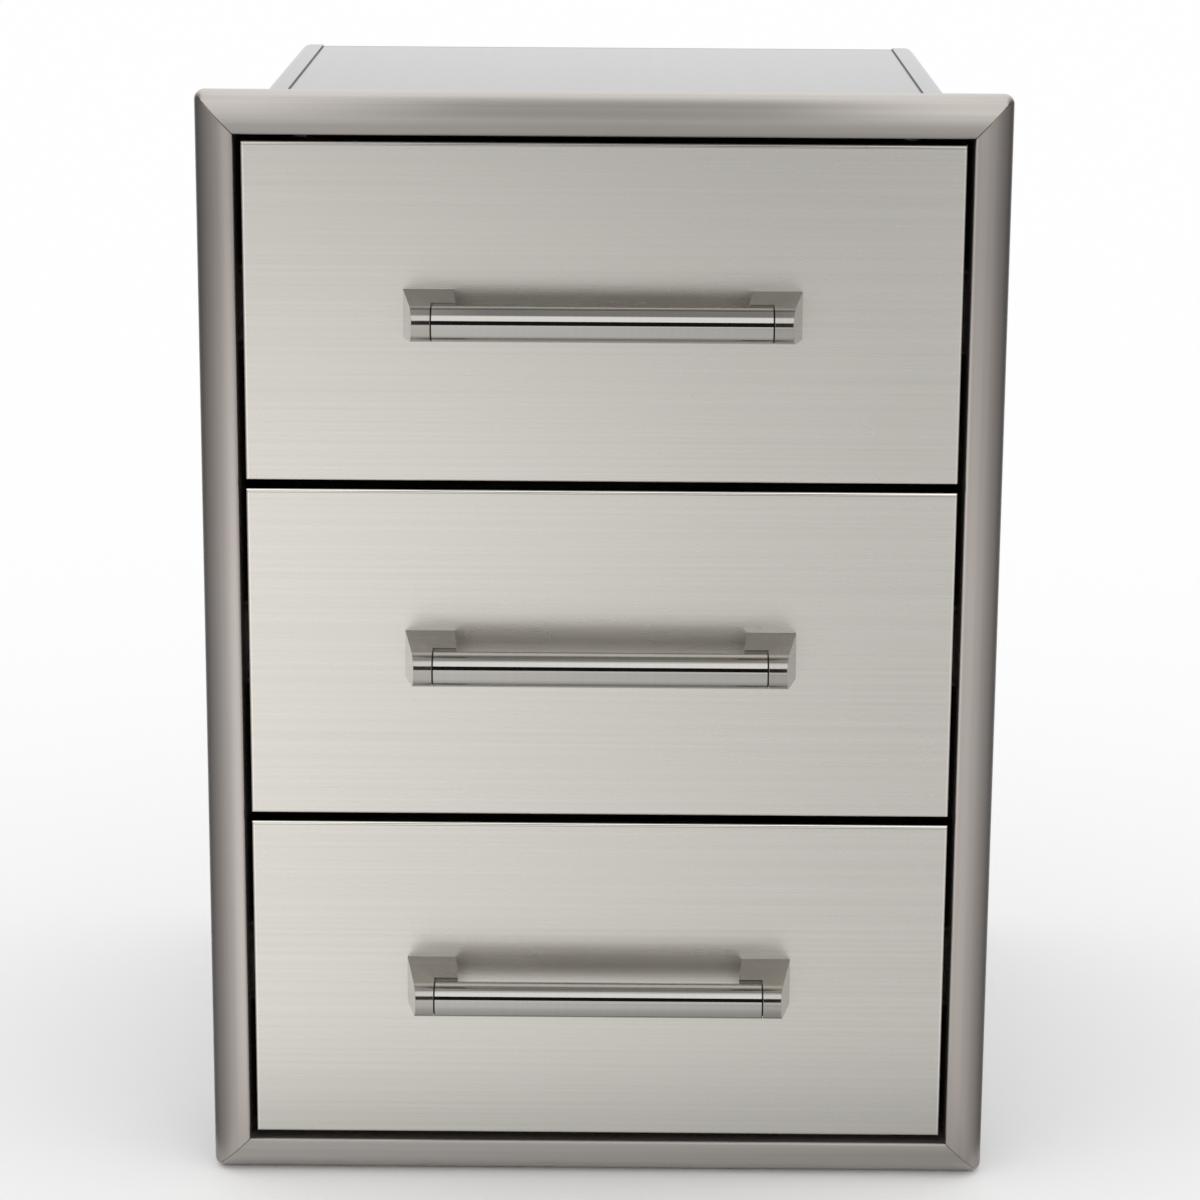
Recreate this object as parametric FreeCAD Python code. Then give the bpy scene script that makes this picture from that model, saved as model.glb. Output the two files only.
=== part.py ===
import FreeCAD
import Part
import math
import os

from FreeCAD import Vector

# Built-in drawer unit of an outdoor kitchen, in millimetres.
# X points right, Y points back into the wall and Z points up.
# The origin is the middle of the frame's bottom edge, in the plane of the wall.

# Trim frame: a rolled sheet with a rounded face, mitred at its corners
FRAME_WIDTH = 432.0
FRAME_HEIGHT = 605.0
FRAME_FACE = 21.5
FRAME_PROUD = 22.0
FRAME_SHEET = 1.0
FRAME_ROUNDING = 18.5
FRAME_CORNER = 5.0
FRAME_INNER_BEND = 1.5
FRAME_SEAT = 8.0
FRAME_RETURN = 20.0

# Box behind the wall, folded from sheet
BOX_DEPTH = 430.0
BOX_SHEET = 1.0
BOX_FLANGE = 14.5
BOX_BEND = 0.8
BOX_SIDE_BEND = 6.0
BOX_FRONT_SETBACK = 0.5
BOX_NOTCH_ROOM = 0.5
PANEL_SIDE_GAP = 0.2

# Drawer fronts: a folded skin, closed at the back by a liner
DRAWER_NAMES = ("bottom", "middle", "top")
EDGE_GAP = 3.5
BETWEEN_GAP = 4.6
FRONT_RECESS = 3.2
FRONT_THICKNESS = 19.0
FRONT_SHEET = 1.0
FRONT_BEND = 1.5
LINER_SHEET = 0.8
LINER_FLANGE = 11.0
LINER_BEND = 1.2

# Trays
TRAY_RISE = 14.0
TRAY_HEIGHT = 145.0
TRAY_SHEET = 1.0
TRAY_RIM = 9.0
TRAY_BEND = 1.2
TRAY_REAR_ROOM = 16.0
TRAY_BACK_DROP = 14.0

# Handles: a tube on two cast brackets that lean inwards
HANDLE_RADIUS = 9.5
HANDLE_WALL = 1.5
HANDLE_AXIS_OUT = 32.0
HANDLE_BAR_HALF = 89.3
HANDLE_JOINT_LINE = 0.4
COLLAR_LENGTH = 9.7
BRACKET_OUTER_SPREAD = 6.5
BRACKET_FOOT_WIDTH = 26.7
BRACKET_INNER_LEAN = 5.5
BRACKET_FOOT_HEIGHT = 26.0
SADDLE_GAP = 2.2
SPIGOT_LENGTH = 14.0
SPIGOT_CLEARANCE = 0.05
HANDLE_SCREW_RADIUS = 2.5
HANDLE_SCREW_BITE = 11.0
HANDLE_SCREW_HEAD_RADIUS = 4.75
HANDLE_SCREW_HEAD = 2.8

# Telescoping slides: three nested rolled members on balls, with a cage for each row
SLIDE_THICKNESS = 12.7
SLIDE_HEIGHT = 45.2
SLIDE_RISE = 86.5
SLIDE_SETBACK = 2.0
SLIDE_REAR_ROOM = 2.0
SLIDE_OVERLAP = 14.0
SLIDE_SHEET = 1.2
SLIDE_BEND = 1.0
SLIDE_LIP = 1.0
MIDDLE_SHEET = 1.0
MIDDLE_BEND = 0.4
MIDDLE_STEP = 2.2
DRAWER_MEMBER_LEAD = 16.0
DRAWER_MEMBER_FLANGE = 6.1
BALL_RADIUS = 1.6
BALL_CLEARANCE = 0.05
OUTER_BALL_DEPTH = 4.4
INNER_BALL_DEPTH = 8.7
RUNNING_GAP = 0.3
CAGE_SHEET = 0.5
CAGE_BEND = 0.4
CAGE_LIP = 1.2
CAGE_LENGTH = 160.0
BUMPER_LENGTH = 6.5
BUMPER_HEIGHT = 18.0
BUMPER_GAP = 0.3

# Fasteners
FASTENER_CLEARANCE = 0.1
SCREW_RADIUS = 2.0
SCREW_HEAD_RADIUS = 4.0
SCREW_HEAD = 2.2
SCREW_END_SHORT = 0.1
CABINET_SCREW_FROM_FRONT = 35.0
CABINET_SCREW_FROM_REAR = 50.0
DRAWER_SCREW_FROM_FRONT = 40.0
DRAWER_SCREW_FROM_REAR = 60.0
RIVET_RADIUS = 1.6
RIVET_HEAD_RADIUS = 3.2
RIVET_HEAD = 0.9
RIVET_TAIL = 3.0
RIVET_DEPTH = 12.0
RIVET_RISES = (55.0, 121.0)

# Holes in the side panels, by which the unit is screwed into its cut-out
FIXING_HOLE_RADIUS = 2.75
FIXING_FRONT_Y = 45.0
FIXING_REAR_Y = 385.0

# How far a cutting shape reaches past the faces that it cuts
OVERSHOOT = 1.0

# Lengths below this one count as none
TOLERANCE = 1e-3

# Sizes that follow from the values above
OPENING_WIDTH = FRAME_WIDTH - 2 * FRAME_FACE
OPENING_BOTTOM = FRAME_FACE
OPENING_TOP = FRAME_HEIGHT - FRAME_FACE
BOX_INNER_X = OPENING_WIDTH / 2 + FRAME_SHEET
BOX_OUTER_X = BOX_INNER_X + BOX_SHEET
BOX_TOP = OPENING_TOP + FRAME_SHEET + 2 * BOX_SHEET
BOX_BOTTOM = OPENING_BOTTOM - FRAME_SHEET - 2 * BOX_SHEET
BACK_PANEL_Y = BOX_DEPTH - 2 * BOX_SHEET
PANEL_HALF_WIDTH = BOX_INNER_X - BOX_SIDE_BEND - PANEL_SIDE_GAP
FRONT_WIDTH = OPENING_WIDTH - 2 * EDGE_GAP
GAPS_OVER_HEIGHT = 2 * EDGE_GAP + (len(DRAWER_NAMES) - 1) * BETWEEN_GAP
FRONT_HEIGHT = (OPENING_TOP - OPENING_BOTTOM - GAPS_OVER_HEIGHT) / len(DRAWER_NAMES)
DRAWER_PITCH = FRONT_HEIGHT + BETWEEN_GAP
FRONT_FACE_Y = FRONT_RECESS - FRAME_PROUD
FRONT_REAR_Y = FRONT_FACE_Y + FRONT_THICKNESS
TRAY_SIDE_X = BOX_INNER_X - SLIDE_THICKNESS
TRAY_REAR_Y = BACK_PANEL_Y - TRAY_REAR_ROOM
SLIDE_FRONT_Y = FRAME_RETURN + SLIDE_SETBACK
SLIDE_REAR_Y = BACK_PANEL_Y - SLIDE_REAR_ROOM
TRAVEL = SLIDE_REAR_Y - SLIDE_FRONT_Y - SLIDE_OVERLAP
BUMPER_FRONT_Y = SLIDE_REAR_Y - BUMPER_LENGTH
MEMBER_REAR_Y = BUMPER_FRONT_Y - BUMPER_GAP
DRAWER_MEMBER_FRONT_Y = FRONT_REAR_Y + DRAWER_MEMBER_LEAD
HANDLE_AXIS_Y = FRONT_FACE_Y - HANDLE_AXIS_OUT
HANDLE_BORE = HANDLE_RADIUS - HANDLE_WALL
COLLAR_INNER_X = HANDLE_BAR_HALF + HANDLE_JOINT_LINE
BRACKET_FRONT_X = COLLAR_INNER_X + COLLAR_LENGTH
BRACKET_FOOT_X = BRACKET_FRONT_X + BRACKET_OUTER_SPREAD
HANDLE_SCREW_X = BRACKET_FOOT_X - BRACKET_FOOT_WIDTH / 2

# Heights of the slides' raceways and balls above the middle of the slide
CABINET_RACE = SLIDE_HEIGHT / 2 - SLIDE_SHEET
OUTER_BALL = CABINET_RACE - BALL_CLEARANCE - BALL_RADIUS
MIDDLE_OUTER_RACE = OUTER_BALL - BALL_CLEARANCE - BALL_RADIUS
MIDDLE_CREST = MIDDLE_OUTER_RACE + MIDDLE_STEP
MIDDLE_INNER_RACE = MIDDLE_CREST - MIDDLE_SHEET
INNER_BALL = MIDDLE_INNER_RACE - BALL_CLEARANCE - BALL_RADIUS
DRAWER_RACE = INNER_BALL - BALL_CLEARANCE - BALL_RADIUS

# Depths of the slides' webs, measured in from the side panel
OUTER_CAGE_WEB = SLIDE_SHEET + RUNNING_GAP
MIDDLE_WEB = OUTER_CAGE_WEB + CAGE_SHEET + RUNNING_GAP
INNER_CAGE_WEB = MIDDLE_WEB + MIDDLE_SHEET + RUNNING_GAP

RIGHT = Vector(1, 0, 0)
BACK = Vector(0, 1, 0)
UP = Vector(0, 0, 1)


# Shared shapes


def seen_from_front(x, z):
    """Return a point of a section drawn as seen from the front."""
    return Vector(x, 0, z)


def seen_from_side(y, z):
    """Return a point of a section drawn as seen from the side."""
    return Vector(0, y, z)


def seen_from_above(x, y):
    """Return a point of a section drawn as seen from above."""
    return Vector(x, y, 0)


def block(x_low, x_high, y_low, y_high, z_low, z_high):
    """Return a rectangular block between its limits."""
    corner = Vector(x_low, y_low, z_low)
    return Part.makeBox(x_high - x_low, y_high - y_low, z_high - z_low, corner)


def slab(section, start, end, direction):
    """Extrude a section, drawn at zero, from start to end along a direction."""
    moved = section.translated(direction * start)
    return moved.extrude(direction * (end - start))


def rod(radius, start, way, length):
    """Return a round rod that starts at a point and runs along a way."""
    return Part.makeCylinder(radius, length, start, way)


def fused(shapes):
    """Fuse solids that are one piece, without seams between their faces."""
    return shapes[0].multiFuse(shapes[1:]).removeSplitter()


def mirrored(shape):
    """Return the shape as it is on the other side of the unit."""
    return shape.mirror(Vector(0, 0, 0), RIGHT)


def on_side(shape, side):
    """Return a shape drawn for the right side on the side that is asked for."""
    return shape if side == "right" else mirrored(shape)


def straight_edges(shape, direction):
    """Return the straight edges of a shape that run along a direction."""
    found = []
    for edge in shape.Edges:
        along = isinstance(edge.Curve, Part.Line) and edge.Curve.Direction.cross(direction).Length < TOLERANCE
        if along:
            found.append(edge)
    return found


def bent_line(points, radii):
    """Return the edges of a line through the points with its corners rounded.

    The corner at points[i] is rounded by radii[i]. The two ends have no corner.
    """
    edges = []
    start = points[0]
    for i in range(1, len(points) - 1):
        back = (points[i - 1] - points[i]).normalize()
        ahead = (points[i + 1] - points[i]).normalize()
        half_angle = back.getAngle(ahead) / 2
        inward = (back + ahead).normalize()
        first = points[i] + back * (radii[i] / math.tan(half_angle))
        last = points[i] + ahead * (radii[i] / math.tan(half_angle))
        crown = points[i] + inward * (radii[i] / math.sin(half_angle) - radii[i])
        edges.append(Part.makeLine(start, first))
        edges.append(Part.Arc(first, crown, last).toShape())
        start = last
    edges.append(Part.makeLine(start, points[-1]))
    return edges


def folded_sheet(view, path, thickness, inside_radius):
    """Return the section of a folded sheet, as a face.

    The path is a list of pairs that one of the seen_from functions turns into
    points. The sheet lies on the right of the path for someone who walks along
    it, and all its bends have the same inside radius.
    """
    normals = []
    for (a_0, b_0), (a_1, b_1) in zip(path, path[1:]):
        length = math.hypot(a_1 - a_0, b_1 - b_0)
        normals.append(((b_1 - b_0) / length, (a_0 - a_1) / length))
    near = []
    far = []
    near_radii = []
    far_radii = []
    for i, (a, b) in enumerate(path):
        before = normals[max(i - 1, 0)]
        after = normals[min(i, len(normals) - 1)]
        reach = thickness / (1 + before[0] * after[0] + before[1] * after[1])
        near.append(view(a, b))
        far.append(view(a + reach * (before[0] + after[0]), b + reach * (before[1] + after[1])))
        turns_left = before[0] * after[1] - before[1] * after[0] > 0
        near_radii.append(inside_radius if turns_left else inside_radius + thickness)
        far_radii.append(inside_radius + thickness if turns_left else inside_radius)
    edges = bent_line(near, near_radii)
    edges.append(Part.makeLine(near[-1], far[-1]))
    edges += bent_line(far[::-1], far_radii[::-1])
    edges.append(Part.makeLine(far[0], near[0]))
    return Part.Face(Part.Wire(edges))


def below_and_above(upper):
    """Complete the upper half of a section's path, which starts at the web, with the lower half."""
    return [(a, -b) for a, b in reversed(upper)] + upper


def pan(x_half, y_open, y_closed, z_low, z_high, sheet, bend):
    """Return a folded pan: a flat face at y_closed and four walls that end at y_open."""
    body = block(-x_half, x_half, min(y_open, y_closed), max(y_open, y_closed), z_low, z_high)
    bends = [edge for edge in body.Edges if abs(edge.BoundBox.Center.y - y_closed) < TOLERANCE]
    body = body.makeFillet(bend, bends)
    inward = sheet if y_closed < y_open else -sheet
    beyond = y_open + inward
    inner_face = y_closed + inward
    inner_x = x_half - sheet
    hollow = block(-inner_x, inner_x, min(inner_face, beyond), max(inner_face, beyond),
                   z_low + sheet, z_high - sheet)
    return body.cut(hollow)


# Trim frame


def bullnose_block(inset):
    """Return the solid that the frame's face encloses, inset by a distance.

    A bar across and an upright bar, both with rounded front edges, meet in the
    mitres. A third outline rounds the outer corners.
    """
    def bar_section(view, low, high):
        front = inset - FRAME_PROUD
        rounding = FRAME_ROUNDING - inset
        points = [view(low, 0), view(low, front), view(high, front), view(high, 0)]
        edges = bent_line(points, [0, rounding, rounding, 0])
        edges.append(Part.makeLine(points[-1], points[0]))
        return Part.Face(Part.Wire(edges))

    half = FRAME_WIDTH / 2 - inset
    top = FRAME_HEIGHT - inset
    across = bar_section(lambda z, y: seen_from_side(y, z), inset, top)
    upright = bar_section(seen_from_above, -half, half)
    outline = block(-half, half, -FRAME_PROUD, 0, inset, top)
    outline = outline.makeFillet(FRAME_CORNER - inset, straight_edges(outline, BACK))
    across = slab(across, -FRAME_WIDTH, FRAME_WIDTH, RIGHT)
    upright = slab(upright, -FRAME_HEIGHT, 2 * FRAME_HEIGHT, UP)
    return across.common(upright).common(outline)


def opening_block(widened, y_low, y_high):
    """Return a block as large as the frame's opening, widened by a distance all round."""
    half = OPENING_WIDTH / 2 + widened
    return block(-half, half, y_low, y_high, OPENING_BOTTOM - widened, OPENING_TOP + widened)


def frame_ring():
    """Return the whole frame: face, seat on the wall and return flange."""
    half_seat = FRAME_WIDTH / 2 - FRAME_SEAT
    top_seat = FRAME_HEIGHT - FRAME_SEAT
    hollow = bullnose_block(FRAME_SHEET)
    hollow = hollow.cut(block(-FRAME_WIDTH, FRAME_WIDTH, -FRAME_SHEET, OVERSHOOT, 0, FRAME_HEIGHT))
    window = block(-half_seat, half_seat, -FRAME_SHEET - OVERSHOOT, OVERSHOOT, FRAME_SEAT, top_seat)
    hollow = hollow.fuse(window).cut(opening_block(FRAME_SHEET, -FRAME_PROUD, FRAME_RETURN))
    flange = opening_block(FRAME_SHEET, -FRAME_SHEET, FRAME_RETURN)
    ring = bullnose_block(0).cut(hollow).fuse(flange)
    ring = ring.cut(opening_block(0, -FRAME_PROUD - OVERSHOOT, FRAME_RETURN + OVERSHOOT))
    ring = ring.removeSplitter()
    bends = [edge for edge in ring.Edges if on_opening_edge(edge)]
    return ring.makeFillet(FRAME_INNER_BEND, bends)


def on_opening_edge(edge):
    """Tell whether an edge lies between the frame's front face and its opening."""
    limits = edge.BoundBox
    if abs(limits.YMin + FRAME_PROUD) > TOLERANCE or limits.YLength > TOLERANCE:
        return False
    inside_x = max(-limits.XMin, limits.XMax) < OPENING_WIDTH / 2 + TOLERANCE
    inside_z = limits.ZMin > OPENING_BOTTOM - TOLERANCE and limits.ZMax < OPENING_TOP + TOLERANCE
    return inside_x and inside_z


def mitre_wedge(corners):
    """Return the space that one length of the frame fills, from its corners seen from the front."""
    points = [Vector(x, -FRAME_PROUD - OVERSHOOT, z) for x, z in corners]
    outline = Part.Face(Part.makePolygon(points + points[:1]))
    return outline.extrude(BACK * (FRAME_PROUD + FRAME_RETURN + 2 * OVERSHOOT))


def frame_parts():
    """Return the two rails and two stiles of the frame, cut at their mitres."""
    outer = FRAME_WIDTH / 2
    inner = OPENING_WIDTH / 2
    ring = frame_ring()
    for seat, way in rivet_places():
        ring = ring.cut(rod(RIVET_RADIUS + FASTENER_CLEARANCE, seat, way, 2 * FRAME_SHEET))
    upper = [(-outer, FRAME_HEIGHT), (outer, FRAME_HEIGHT), (inner, OPENING_TOP), (-inner, OPENING_TOP)]
    lower = [(-outer, 0), (outer, 0), (inner, OPENING_BOTTOM), (-inner, OPENING_BOTTOM)]
    right = [(outer, 0), (outer, FRAME_HEIGHT), (inner, OPENING_TOP), (inner, OPENING_BOTTOM)]
    left = [(-x, z) for x, z in right]
    return {
        "frame_top_rail": ring.common(mitre_wedge(upper)),
        "frame_bottom_rail": ring.common(mitre_wedge(lower)),
        "frame_left_stile": ring.common(mitre_wedge(left)),
        "frame_right_stile": ring.common(mitre_wedge(right)),
    }


def rivet_places():
    """Return where each rivet's head seats on the return flange, and which way it points."""
    places = []
    for drawer in DRAWER_NAMES:
        for rise in RIVET_RISES:
            for sign in (-1, 1):
                seat = Vector(sign * OPENING_WIDTH / 2, RIVET_DEPTH, front_bottom(drawer) + rise)
                places.append((seat, RIGHT * sign))
    return places


def rivet(seat, way):
    """Return a blind rivet: a flat head and a shank through the frame and the box."""
    head = rod(RIVET_HEAD_RADIUS, seat - way * RIVET_HEAD, way, RIVET_HEAD)
    shank = rod(RIVET_RADIUS, seat, way, FRAME_SHEET + BOX_SHEET + RIVET_TAIL)
    return fused([head, shank])


# Box


def side_panel(side):
    """Return a side panel: folded over the top and bottom panels and behind the back panel.

    Its wide folds over the top and bottom are notched at the front, where the
    corners of the frame's return flange pass.
    """
    rear_bend = BOX_BEND + BOX_SHEET
    side_bend = BOX_SIDE_BEND + BOX_SHEET
    fold_x = BOX_OUTER_X - BOX_FLANGE
    section = [(fold_x, BOX_TOP), (BOX_OUTER_X, BOX_TOP)]
    section += [(BOX_OUTER_X, BOX_BOTTOM), (fold_x, BOX_BOTTOM)]
    wall = folded_sheet(seen_from_front, section, BOX_SHEET, BOX_SIDE_BEND)
    wall = slab(wall, BOX_FRONT_SETBACK, BOX_DEPTH - rear_bend, BACK)
    corner = [(fold_x, BOX_DEPTH), (BOX_OUTER_X, BOX_DEPTH), (BOX_OUTER_X, BOX_DEPTH - BOX_FLANGE)]
    rear = folded_sheet(seen_from_above, corner, BOX_SHEET, BOX_BEND)
    rear = slab(rear, BOX_BOTTOM + side_bend, BOX_TOP - side_bend, UP)
    panel = fused([wall, rear]).cut(frame_corner_notches(side_bend + BOX_NOTCH_ROOM))
    holes = []
    for drawer in DRAWER_NAMES:
        for y in cabinet_screw_places():
            holes.append((SCREW_RADIUS + FASTENER_CLEARANCE, y, slide_middle(drawer)))
        for rise in RIVET_RISES:
            radius = RIVET_RADIUS + FASTENER_CLEARANCE
            holes.append((radius, RIVET_DEPTH, front_bottom(drawer) + rise))
    for z in fixing_heights():
        for y in (FIXING_FRONT_Y, FIXING_REAR_Y):
            holes.append((FIXING_HOLE_RADIUS, y, z))
    for radius, y, z in holes:
        start = Vector(BOX_INNER_X - OVERSHOOT, y, z)
        panel = panel.cut(rod(radius, start, RIGHT, BOX_SHEET + 2 * OVERSHOOT))
    return on_side(panel, side)


def frame_corner_notches(size):
    """Return the blocks that notch a side panel's two folds where the frame's flange passes."""
    inner_x = BOX_OUTER_X - size
    outer_x = BOX_OUTER_X + OVERSHOOT
    rear_y = FRAME_RETURN + BOX_NOTCH_ROOM
    upper = block(inner_x, outer_x, 0, rear_y, BOX_TOP - size, BOX_TOP + OVERSHOOT)
    lower = block(inner_x, outer_x, 0, rear_y, BOX_BOTTOM - OVERSHOOT, BOX_BOTTOM + size)
    return [upper, lower]


def fixing_heights():
    """Return the heights of the fixing holes, level with the gaps between the trays."""
    gap_above_tray = DRAWER_PITCH - TRAY_HEIGHT
    return [front_bottom(name) + TRAY_RISE - gap_above_tray / 2 for name in DRAWER_NAMES[1:]]


def cover_panel(z_face, inward):
    """Return the top or bottom panel: flat, with a flange against the back panel."""
    flange_end = z_face + inward * BOX_FLANGE
    path = [(BOX_FRONT_SETBACK, z_face), (BACK_PANEL_Y, z_face), (BACK_PANEL_Y, flange_end)]
    if inward > 0:
        path.reverse()
    section = folded_sheet(seen_from_side, path, BOX_SHEET, BOX_BEND)
    return slab(section, -PANEL_HALF_WIDTH, PANEL_HALF_WIDTH, RIGHT)


def back_panel():
    """Return the flat back panel, behind the flanges of the top and bottom panels."""
    return block(-PANEL_HALF_WIDTH, PANEL_HALF_WIDTH, BACK_PANEL_Y, BACK_PANEL_Y + BOX_SHEET,
                 BOX_BOTTOM + BOX_SHEET, BOX_TOP - BOX_SHEET)


# Slides


def slide_shape(drawer, upper, thickness, inside_radius, y_front, y_rear):
    """Return a right-hand slide member from its section's upper half, from the web outwards.

    The half gives depths from the side panel and heights above the slide's middle.
    """
    def view(depth, height):
        return Vector(BOX_INNER_X - depth, 0, slide_middle(drawer) + height)

    section = folded_sheet(view, below_and_above(upper), thickness, inside_radius)
    return slab(section, y_front, y_rear, BACK)


def cabinet_screw_places():
    """Return how far back the screws of the cabinet members lie."""
    return (SLIDE_FRONT_Y + CABINET_SCREW_FROM_FRONT, SLIDE_REAR_Y - CABINET_SCREW_FROM_REAR)


def drawer_screw_places():
    """Return how far back the screws of the drawer members lie when the drawer is closed."""
    return (DRAWER_MEMBER_FRONT_Y + DRAWER_SCREW_FROM_FRONT, MEMBER_REAR_Y - DRAWER_SCREW_FROM_REAR)


def screw_hole(start, sheet):
    """Return the rod that cuts a slide screw's hole through a sheet on the right-hand side."""
    return rod(SCREW_RADIUS + FASTENER_CLEARANCE, start, RIGHT, sheet + 2 * OVERSHOOT)


def cabinet_member(drawer, side):
    """Return the slide member on the side panel, with lips that hold the outer balls."""
    top = SLIDE_HEIGHT / 2
    lip_depth = OUTER_BALL_DEPTH + BALL_RADIUS
    upper = [(0, top), (lip_depth, top), (lip_depth + SLIDE_LIP, top - SLIDE_LIP)]
    member = slide_shape(drawer, upper, SLIDE_SHEET, SLIDE_BEND, SLIDE_FRONT_Y, SLIDE_REAR_Y)
    for y in cabinet_screw_places():
        start = Vector(BOX_INNER_X - SLIDE_SHEET - OVERSHOOT, y, slide_middle(drawer))
        member = member.cut(screw_hole(start, SLIDE_SHEET))
    return on_side(member, side)


def middle_member(drawer, side):
    """Return the intermediate member: a raceway outside for one row of balls, inside for the other."""
    step_depth = OUTER_BALL_DEPTH + BALL_RADIUS - BALL_CLEARANCE
    crest_depth = step_depth + MIDDLE_STEP / 2
    lip_depth = INNER_BALL_DEPTH + BALL_RADIUS
    upper = [(MIDDLE_WEB, MIDDLE_OUTER_RACE), (step_depth, MIDDLE_OUTER_RACE)]
    upper += [(crest_depth, MIDDLE_CREST), (lip_depth, MIDDLE_CREST)]
    upper += [(lip_depth + SLIDE_LIP / 2, MIDDLE_CREST - SLIDE_LIP)]
    member = slide_shape(drawer, upper, MIDDLE_SHEET, MIDDLE_BEND, SLIDE_FRONT_Y, MEMBER_REAR_Y)
    return on_side(member, side)


def drawer_member(drawer, side):
    """Return the slide member on the tray."""
    inside = DRAWER_RACE - SLIDE_SHEET
    upper = [(SLIDE_THICKNESS - SLIDE_SHEET, inside)]
    upper += [(SLIDE_THICKNESS - DRAWER_MEMBER_FLANGE, inside)]
    member = slide_shape(drawer, upper, SLIDE_SHEET, SLIDE_BEND, DRAWER_MEMBER_FRONT_Y, MEMBER_REAR_Y)
    for y in drawer_screw_places():
        start = Vector(TRAY_SIDE_X - OVERSHOOT, y, slide_middle(drawer))
        member = member.cut(screw_hole(start, SLIDE_SHEET))
    return on_side(member, side)


def cage_limits():
    """Return where the cages begin and end, so that they stay in the overlap of their members."""
    middle = (SLIDE_FRONT_Y + MEMBER_REAR_Y + TRAVEL / 2) / 2
    return middle - CAGE_LENGTH / 2, middle + CAGE_LENGTH / 2


def outer_cages(drawer):
    """Return the two cages of the balls between the cabinet and intermediate members."""
    y_front, y_rear = cage_limits()
    top = OUTER_BALL + CAGE_SHEET / 2
    upper = [(OUTER_CAGE_WEB, top), (OUTER_BALL_DEPTH + CAGE_LIP, top)]
    cage = slide_shape(drawer, upper, CAGE_SHEET, CAGE_BEND, y_front, y_rear)
    return Part.makeCompound([cage, mirrored(cage)])


def inner_cages(drawer):
    """Return the two cages of the balls between the intermediate and drawer members."""
    y_front, y_rear = cage_limits()
    top = INNER_BALL + CAGE_SHEET / 2
    low = MIDDLE_OUTER_RACE - MIDDLE_SHEET - RUNNING_GAP
    rise_depth = OUTER_BALL_DEPTH + BALL_RADIUS + SLIDE_LIP
    upper = [(INNER_CAGE_WEB, low), (rise_depth, low)]
    upper += [(rise_depth + top - low, top), (INNER_BALL_DEPTH + CAGE_LIP, top)]
    cage = slide_shape(drawer, upper, CAGE_SHEET, CAGE_BEND, y_front, y_rear)
    return Part.makeCompound([cage, mirrored(cage)])


def closing_bumpers():
    """Return the rubber blocks that the closed slides come to rest against."""
    bumpers = []
    for drawer in DRAWER_NAMES:
        middle = slide_middle(drawer)
        bumper = block(TRAY_SIDE_X + SLIDE_SHEET, BOX_INNER_X - SLIDE_SHEET, BUMPER_FRONT_Y,
                       SLIDE_REAR_Y, middle - BUMPER_HEIGHT / 2, middle + BUMPER_HEIGHT / 2)
        bumpers += [bumper, mirrored(bumper)]
    return Part.makeCompound(bumpers)


def screw(seat, way, length, radius=SCREW_RADIUS, head_radius=SCREW_HEAD_RADIUS, head=SCREW_HEAD):
    """Return a pan-head screw: its head seats at a point and its shank runs along a way."""
    cap = rod(head_radius, seat - way * head, way, head)
    return fused([cap, rod(radius, seat, way, length)])


def cabinet_slide_screws():
    """Return the screws that hold the cabinet members, put in from outside the box."""
    screws = []
    length = BOX_SHEET + SLIDE_SHEET - SCREW_END_SHORT
    for drawer in DRAWER_NAMES:
        for y in cabinet_screw_places():
            right = screw(Vector(BOX_OUTER_X, y, slide_middle(drawer)), RIGHT * -1, length)
            screws += [right, mirrored(right)]
    return Part.makeCompound(screws)


def drawer_slide_screws(drawer):
    """Return the screws that hold the drawer members, put in from inside the tray."""
    screws = []
    length = TRAY_SHEET + SLIDE_SHEET - SCREW_END_SHORT
    for y in drawer_screw_places():
        right = screw(Vector(TRAY_SIDE_X - TRAY_SHEET, y, slide_middle(drawer)), RIGHT, length)
        screws += [right, mirrored(right)]
    return Part.makeCompound(screws)


# Drawers


def front_bottom(drawer):
    """Return the height of a drawer front's lower edge."""
    return OPENING_BOTTOM + EDGE_GAP + DRAWER_NAMES.index(drawer) * DRAWER_PITCH


def slide_middle(drawer):
    """Return the height of a drawer's slides."""
    return front_bottom(drawer) + SLIDE_RISE


def handle_height(drawer):
    """Return the height of a drawer's handle, half way up its front."""
    return front_bottom(drawer) + FRONT_HEIGHT / 2


def handle_screw_holes(drawer, y_low, y_high):
    """Return the two rods that cut the holes for the handle screws."""
    radius = HANDLE_SCREW_RADIUS + FASTENER_CLEARANCE
    hole = rod(radius, Vector(HANDLE_SCREW_X, y_low, handle_height(drawer)), BACK, y_high - y_low)
    return [hole, mirrored(hole)]


def front_skin(drawer):
    """Return the outer skin of a drawer front, open at the back."""
    low = front_bottom(drawer)
    skin = pan(FRONT_WIDTH / 2, FRONT_REAR_Y, FRONT_FACE_Y, low, low + FRONT_HEIGHT,
               FRONT_SHEET, FRONT_BEND)
    return skin.cut(handle_screw_holes(drawer, FRONT_FACE_Y - OVERSHOOT, FRONT_REAR_Y))


def front_liner(drawer):
    """Return the liner that closes the back of a drawer front, inside the walls of the skin."""
    low = front_bottom(drawer) + FRONT_SHEET
    high = front_bottom(drawer) + FRONT_HEIGHT - FRONT_SHEET
    liner = pan(FRONT_WIDTH / 2 - FRONT_SHEET, FRONT_REAR_Y - LINER_FLANGE, FRONT_REAR_Y,
                low, high, LINER_SHEET, LINER_BEND)
    return liner.cut(handle_screw_holes(drawer, FRONT_REAR_Y - LINER_FLANGE, FRONT_REAR_Y + OVERSHOOT))


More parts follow.
